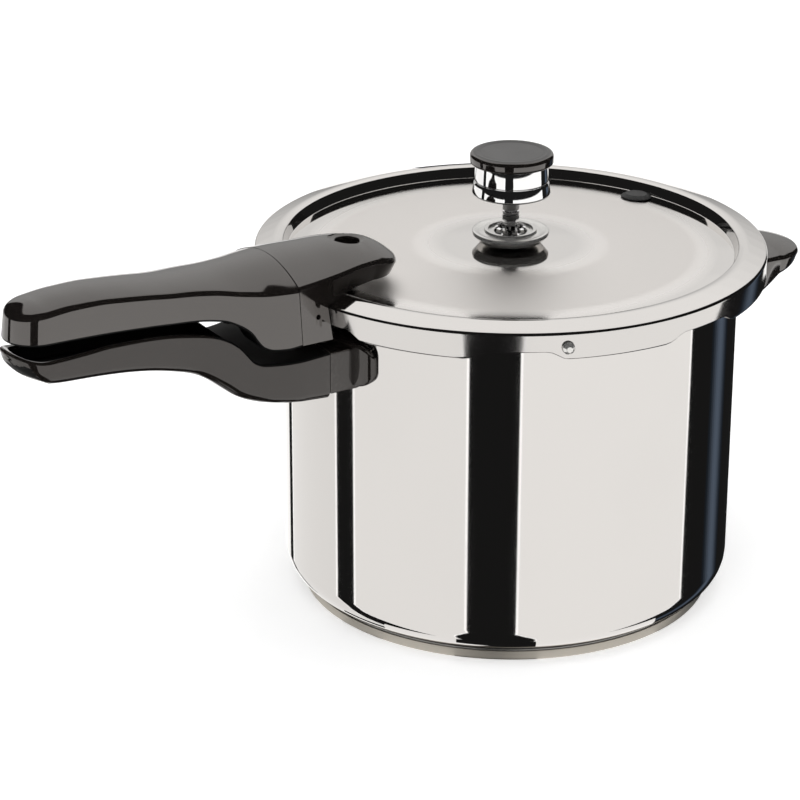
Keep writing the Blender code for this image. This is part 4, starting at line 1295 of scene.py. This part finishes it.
class COOKER_OT_studio(bpy.types.Operator):
    """Set the pale floor, the light cards, the lamps and the camera"""

    bl_idname = "cooker.studio"
    bl_label = "Studio"

    def execute(self, context):
        self.build_floor()
        self.build_cards()
        self.build_lamps()
        self.build_camera()
        context.scene.view_settings.view_transform = "Standard"
        return {"FINISHED"}

    def build_floor(self):
        """A pale floor that curves up into a wall far away on every side."""
        bm = bmesh.new()
        profile = [(0, FLOOR_LEVEL)]
        for t in spread(0, math.pi / 2, 10):
            profile.append((FLOOR_REACH + FLOOR_RISE * (math.sin(t) - 1),
                            FLOOR_LEVEL + FLOOR_RISE * (1 - math.cos(t))))
        profile.append((FLOOR_REACH, WALL_TOP))
        loops = [[bm.verts.new(polar(r, 360 * k / FLOOR_SIDES, z)) for r, z in profile]
                 for k in range(FLOOR_SIDES)]
        join_loops(bm, loops + loops[:1])
        bmesh.ops.remove_doubles(bm, verts=bm.verts, dist=0.0001)
        material = emitter("pale floor", FLOOR_GLOW, (1.0, 1.0, 1.0))
        shader = material.node_tree.nodes["Principled BSDF"]
        shader.inputs["Base Color"].default_value = (0.86, 0.86, 0.86, 1)
        shader.inputs["Roughness"].default_value = 0.9
        floor = new_object("floor", bm, material)
        floor.data.shade_smooth()
        floor.visible_glossy = False

    def build_cards(self):
        bright = emitter("bright card edge", EDGE_STRENGTH, (1.0, 1.0, 1.0))
        inner = (LOW_BAND[0] + EDGE_DEPTH, LOW_BAND[1])
        for start, end, strength in LOW_CARDS:
            white = emitter("low white card", strength)
            card("low card edge", start, end, LOW_BAND, bright,
                 CARD_RADIUS + EDGE_SETBACK, True)
            card("low card", start + EDGE_WIDTH, end - EDGE_WIDTH, inner, white, rounded=True)
            self.build_floor_glow(start / 2 + 5, end / 2 - 5, white)
        white = emitter("back white card", BACK_STRENGTH)
        for start, end, band in BACK_CARDS:
            card("back card", start, end, band, white)
        for k in range(STREAKS):
            strength = 0.015 + 0.12 * math.sin(math.pi * (k + 0.5) / STREAKS) ** 2
            streak = emitter("blue streak", strength, (0.72, 0.92, 1.25))
            start = STREAK_START + STREAK_WIDTH * k
            card("blue streak", start, start + STREAK_WIDTH, LOW_BAND, streak)
        self.build_high_card()

    def build_floor_glow(self, start, end, material):
        """The bright table close to the base, which the pot's bottom corner mirrors."""
        bm = bmesh.new()
        loops = [[bm.verts.new(polar(r, CAMERA_SIDE + a, RING_GLOW_LEVEL))
                  for r in RING_GLOW_RADII] for a in spread(start, end, 24)]
        join_loops(bm, loops)
        reflected_only("floor glow", bm, material)

    def build_high_card(self):
        """The card behind and above the cooker: dimmer near the table, wider higher up."""
        low, high = HIGH_BAND
        for k in range(HIGH_BANDS):
            bottom, top = (low + (high - low) * (i / HIGH_BANDS) ** 2 for i in (k, k + 1))
            share = k / (HIGH_BANDS - 1)
            glow = emitter("high white card", 0.33 + 0.68 * smooth(share * 1.8))
            half = 32 + 36 * smooth((top - WING_BOTTOM) / WING_RISE)
            card("high card", 180 - half, 180 + half, (bottom, top), glow)

    def build_lamps(self):
        world = bpy.data.worlds.new("dim studio")
        bpy.context.scene.world = world
        world.use_nodes = True
        background = world.node_tree.nodes["Background"]
        background.inputs["Color"].default_value = (WORLD_GLOW, WORLD_GLOW, WORLD_GLOW, 1)
        for place, power, size in LAMPS:
            lamp = bpy.data.lights.new("soft lamp", "AREA")
            lamp.energy = power
            lamp.size = size
            obj = bpy.data.objects.new("soft lamp", lamp)
            obj.location = place
            obj.rotation_euler = (-Vector(place)).to_track_quat("-Z", "Y").to_euler()
            obj.visible_glossy = False
            bpy.context.scene.collection.objects.link(obj)

    def build_camera(self):
        camera = bpy.data.cameras.new("camera")
        camera.lens = CAMERA_LENS
        camera.sensor_width = 36.0
        camera.clip_start = 0.05
        camera.clip_end = 50.0
        obj = bpy.data.objects.new("camera", camera)
        obj.location = CAMERA_PLACE
        obj.rotation_mode = "QUATERNION"
        aim = (CAMERA_TARGET - CAMERA_PLACE).to_track_quat("-Z", "Y")
        obj.rotation_quaternion = aim @ Quaternion((0, 0, 1), CAMERA_ROLL)
        bpy.context.scene.collection.objects.link(obj)
        bpy.context.scene.camera = obj


# ---------------------------------------------------------------- sidebar and registration
OPERATORS = (COOKER_OT_pot, COOKER_OT_base, COOKER_OT_cover, COOKER_OT_plug, COOKER_OT_vent,
             COOKER_OT_cover_handle, COOKER_OT_body_handle, COOKER_OT_helper_handle,
             COOKER_OT_regulator, COOKER_OT_inner_parts, COOKER_OT_hardware, COOKER_OT_studio)


class COOKER_PT_sidebar(bpy.types.Panel):
    """Sizes, finishes and one button for each group of pieces"""

    bl_label = "Pressure Cooker"
    bl_idname = "COOKER_PT_sidebar"
    bl_space_type = "VIEW_3D"
    bl_region_type = "UI"
    bl_category = "Cooker"

    def draw(self, context):
        layout = self.layout
        for group in (context.scene.cooker_sizes, context.scene.cooker_finishes):
            box = layout.box()
            for key in group.__annotations__:
                box.prop(group, key)
        for operator in OPERATORS:
            layout.operator(operator.bl_idname)


CLASSES = (CookerSizes, CookerFinishes, *OPERATORS, COOKER_PT_sidebar)


def register():
    for made in CLASSES:
        bpy.utils.register_class(made)
    bpy.types.Scene.cooker_sizes = bpy.props.PointerProperty(type=CookerSizes)
    bpy.types.Scene.cooker_finishes = bpy.props.PointerProperty(type=CookerFinishes)


def unregister():
    del bpy.types.Scene.cooker_finishes
    del bpy.types.Scene.cooker_sizes
    for made in reversed(CLASSES):
        bpy.utils.unregister_class(made)


def main():
    register()
    for operator in OPERATORS:
        group, name = operator.bl_idname.split(".")
        getattr(getattr(bpy.ops, group), name)()


if __name__ == "__main__":
    main()
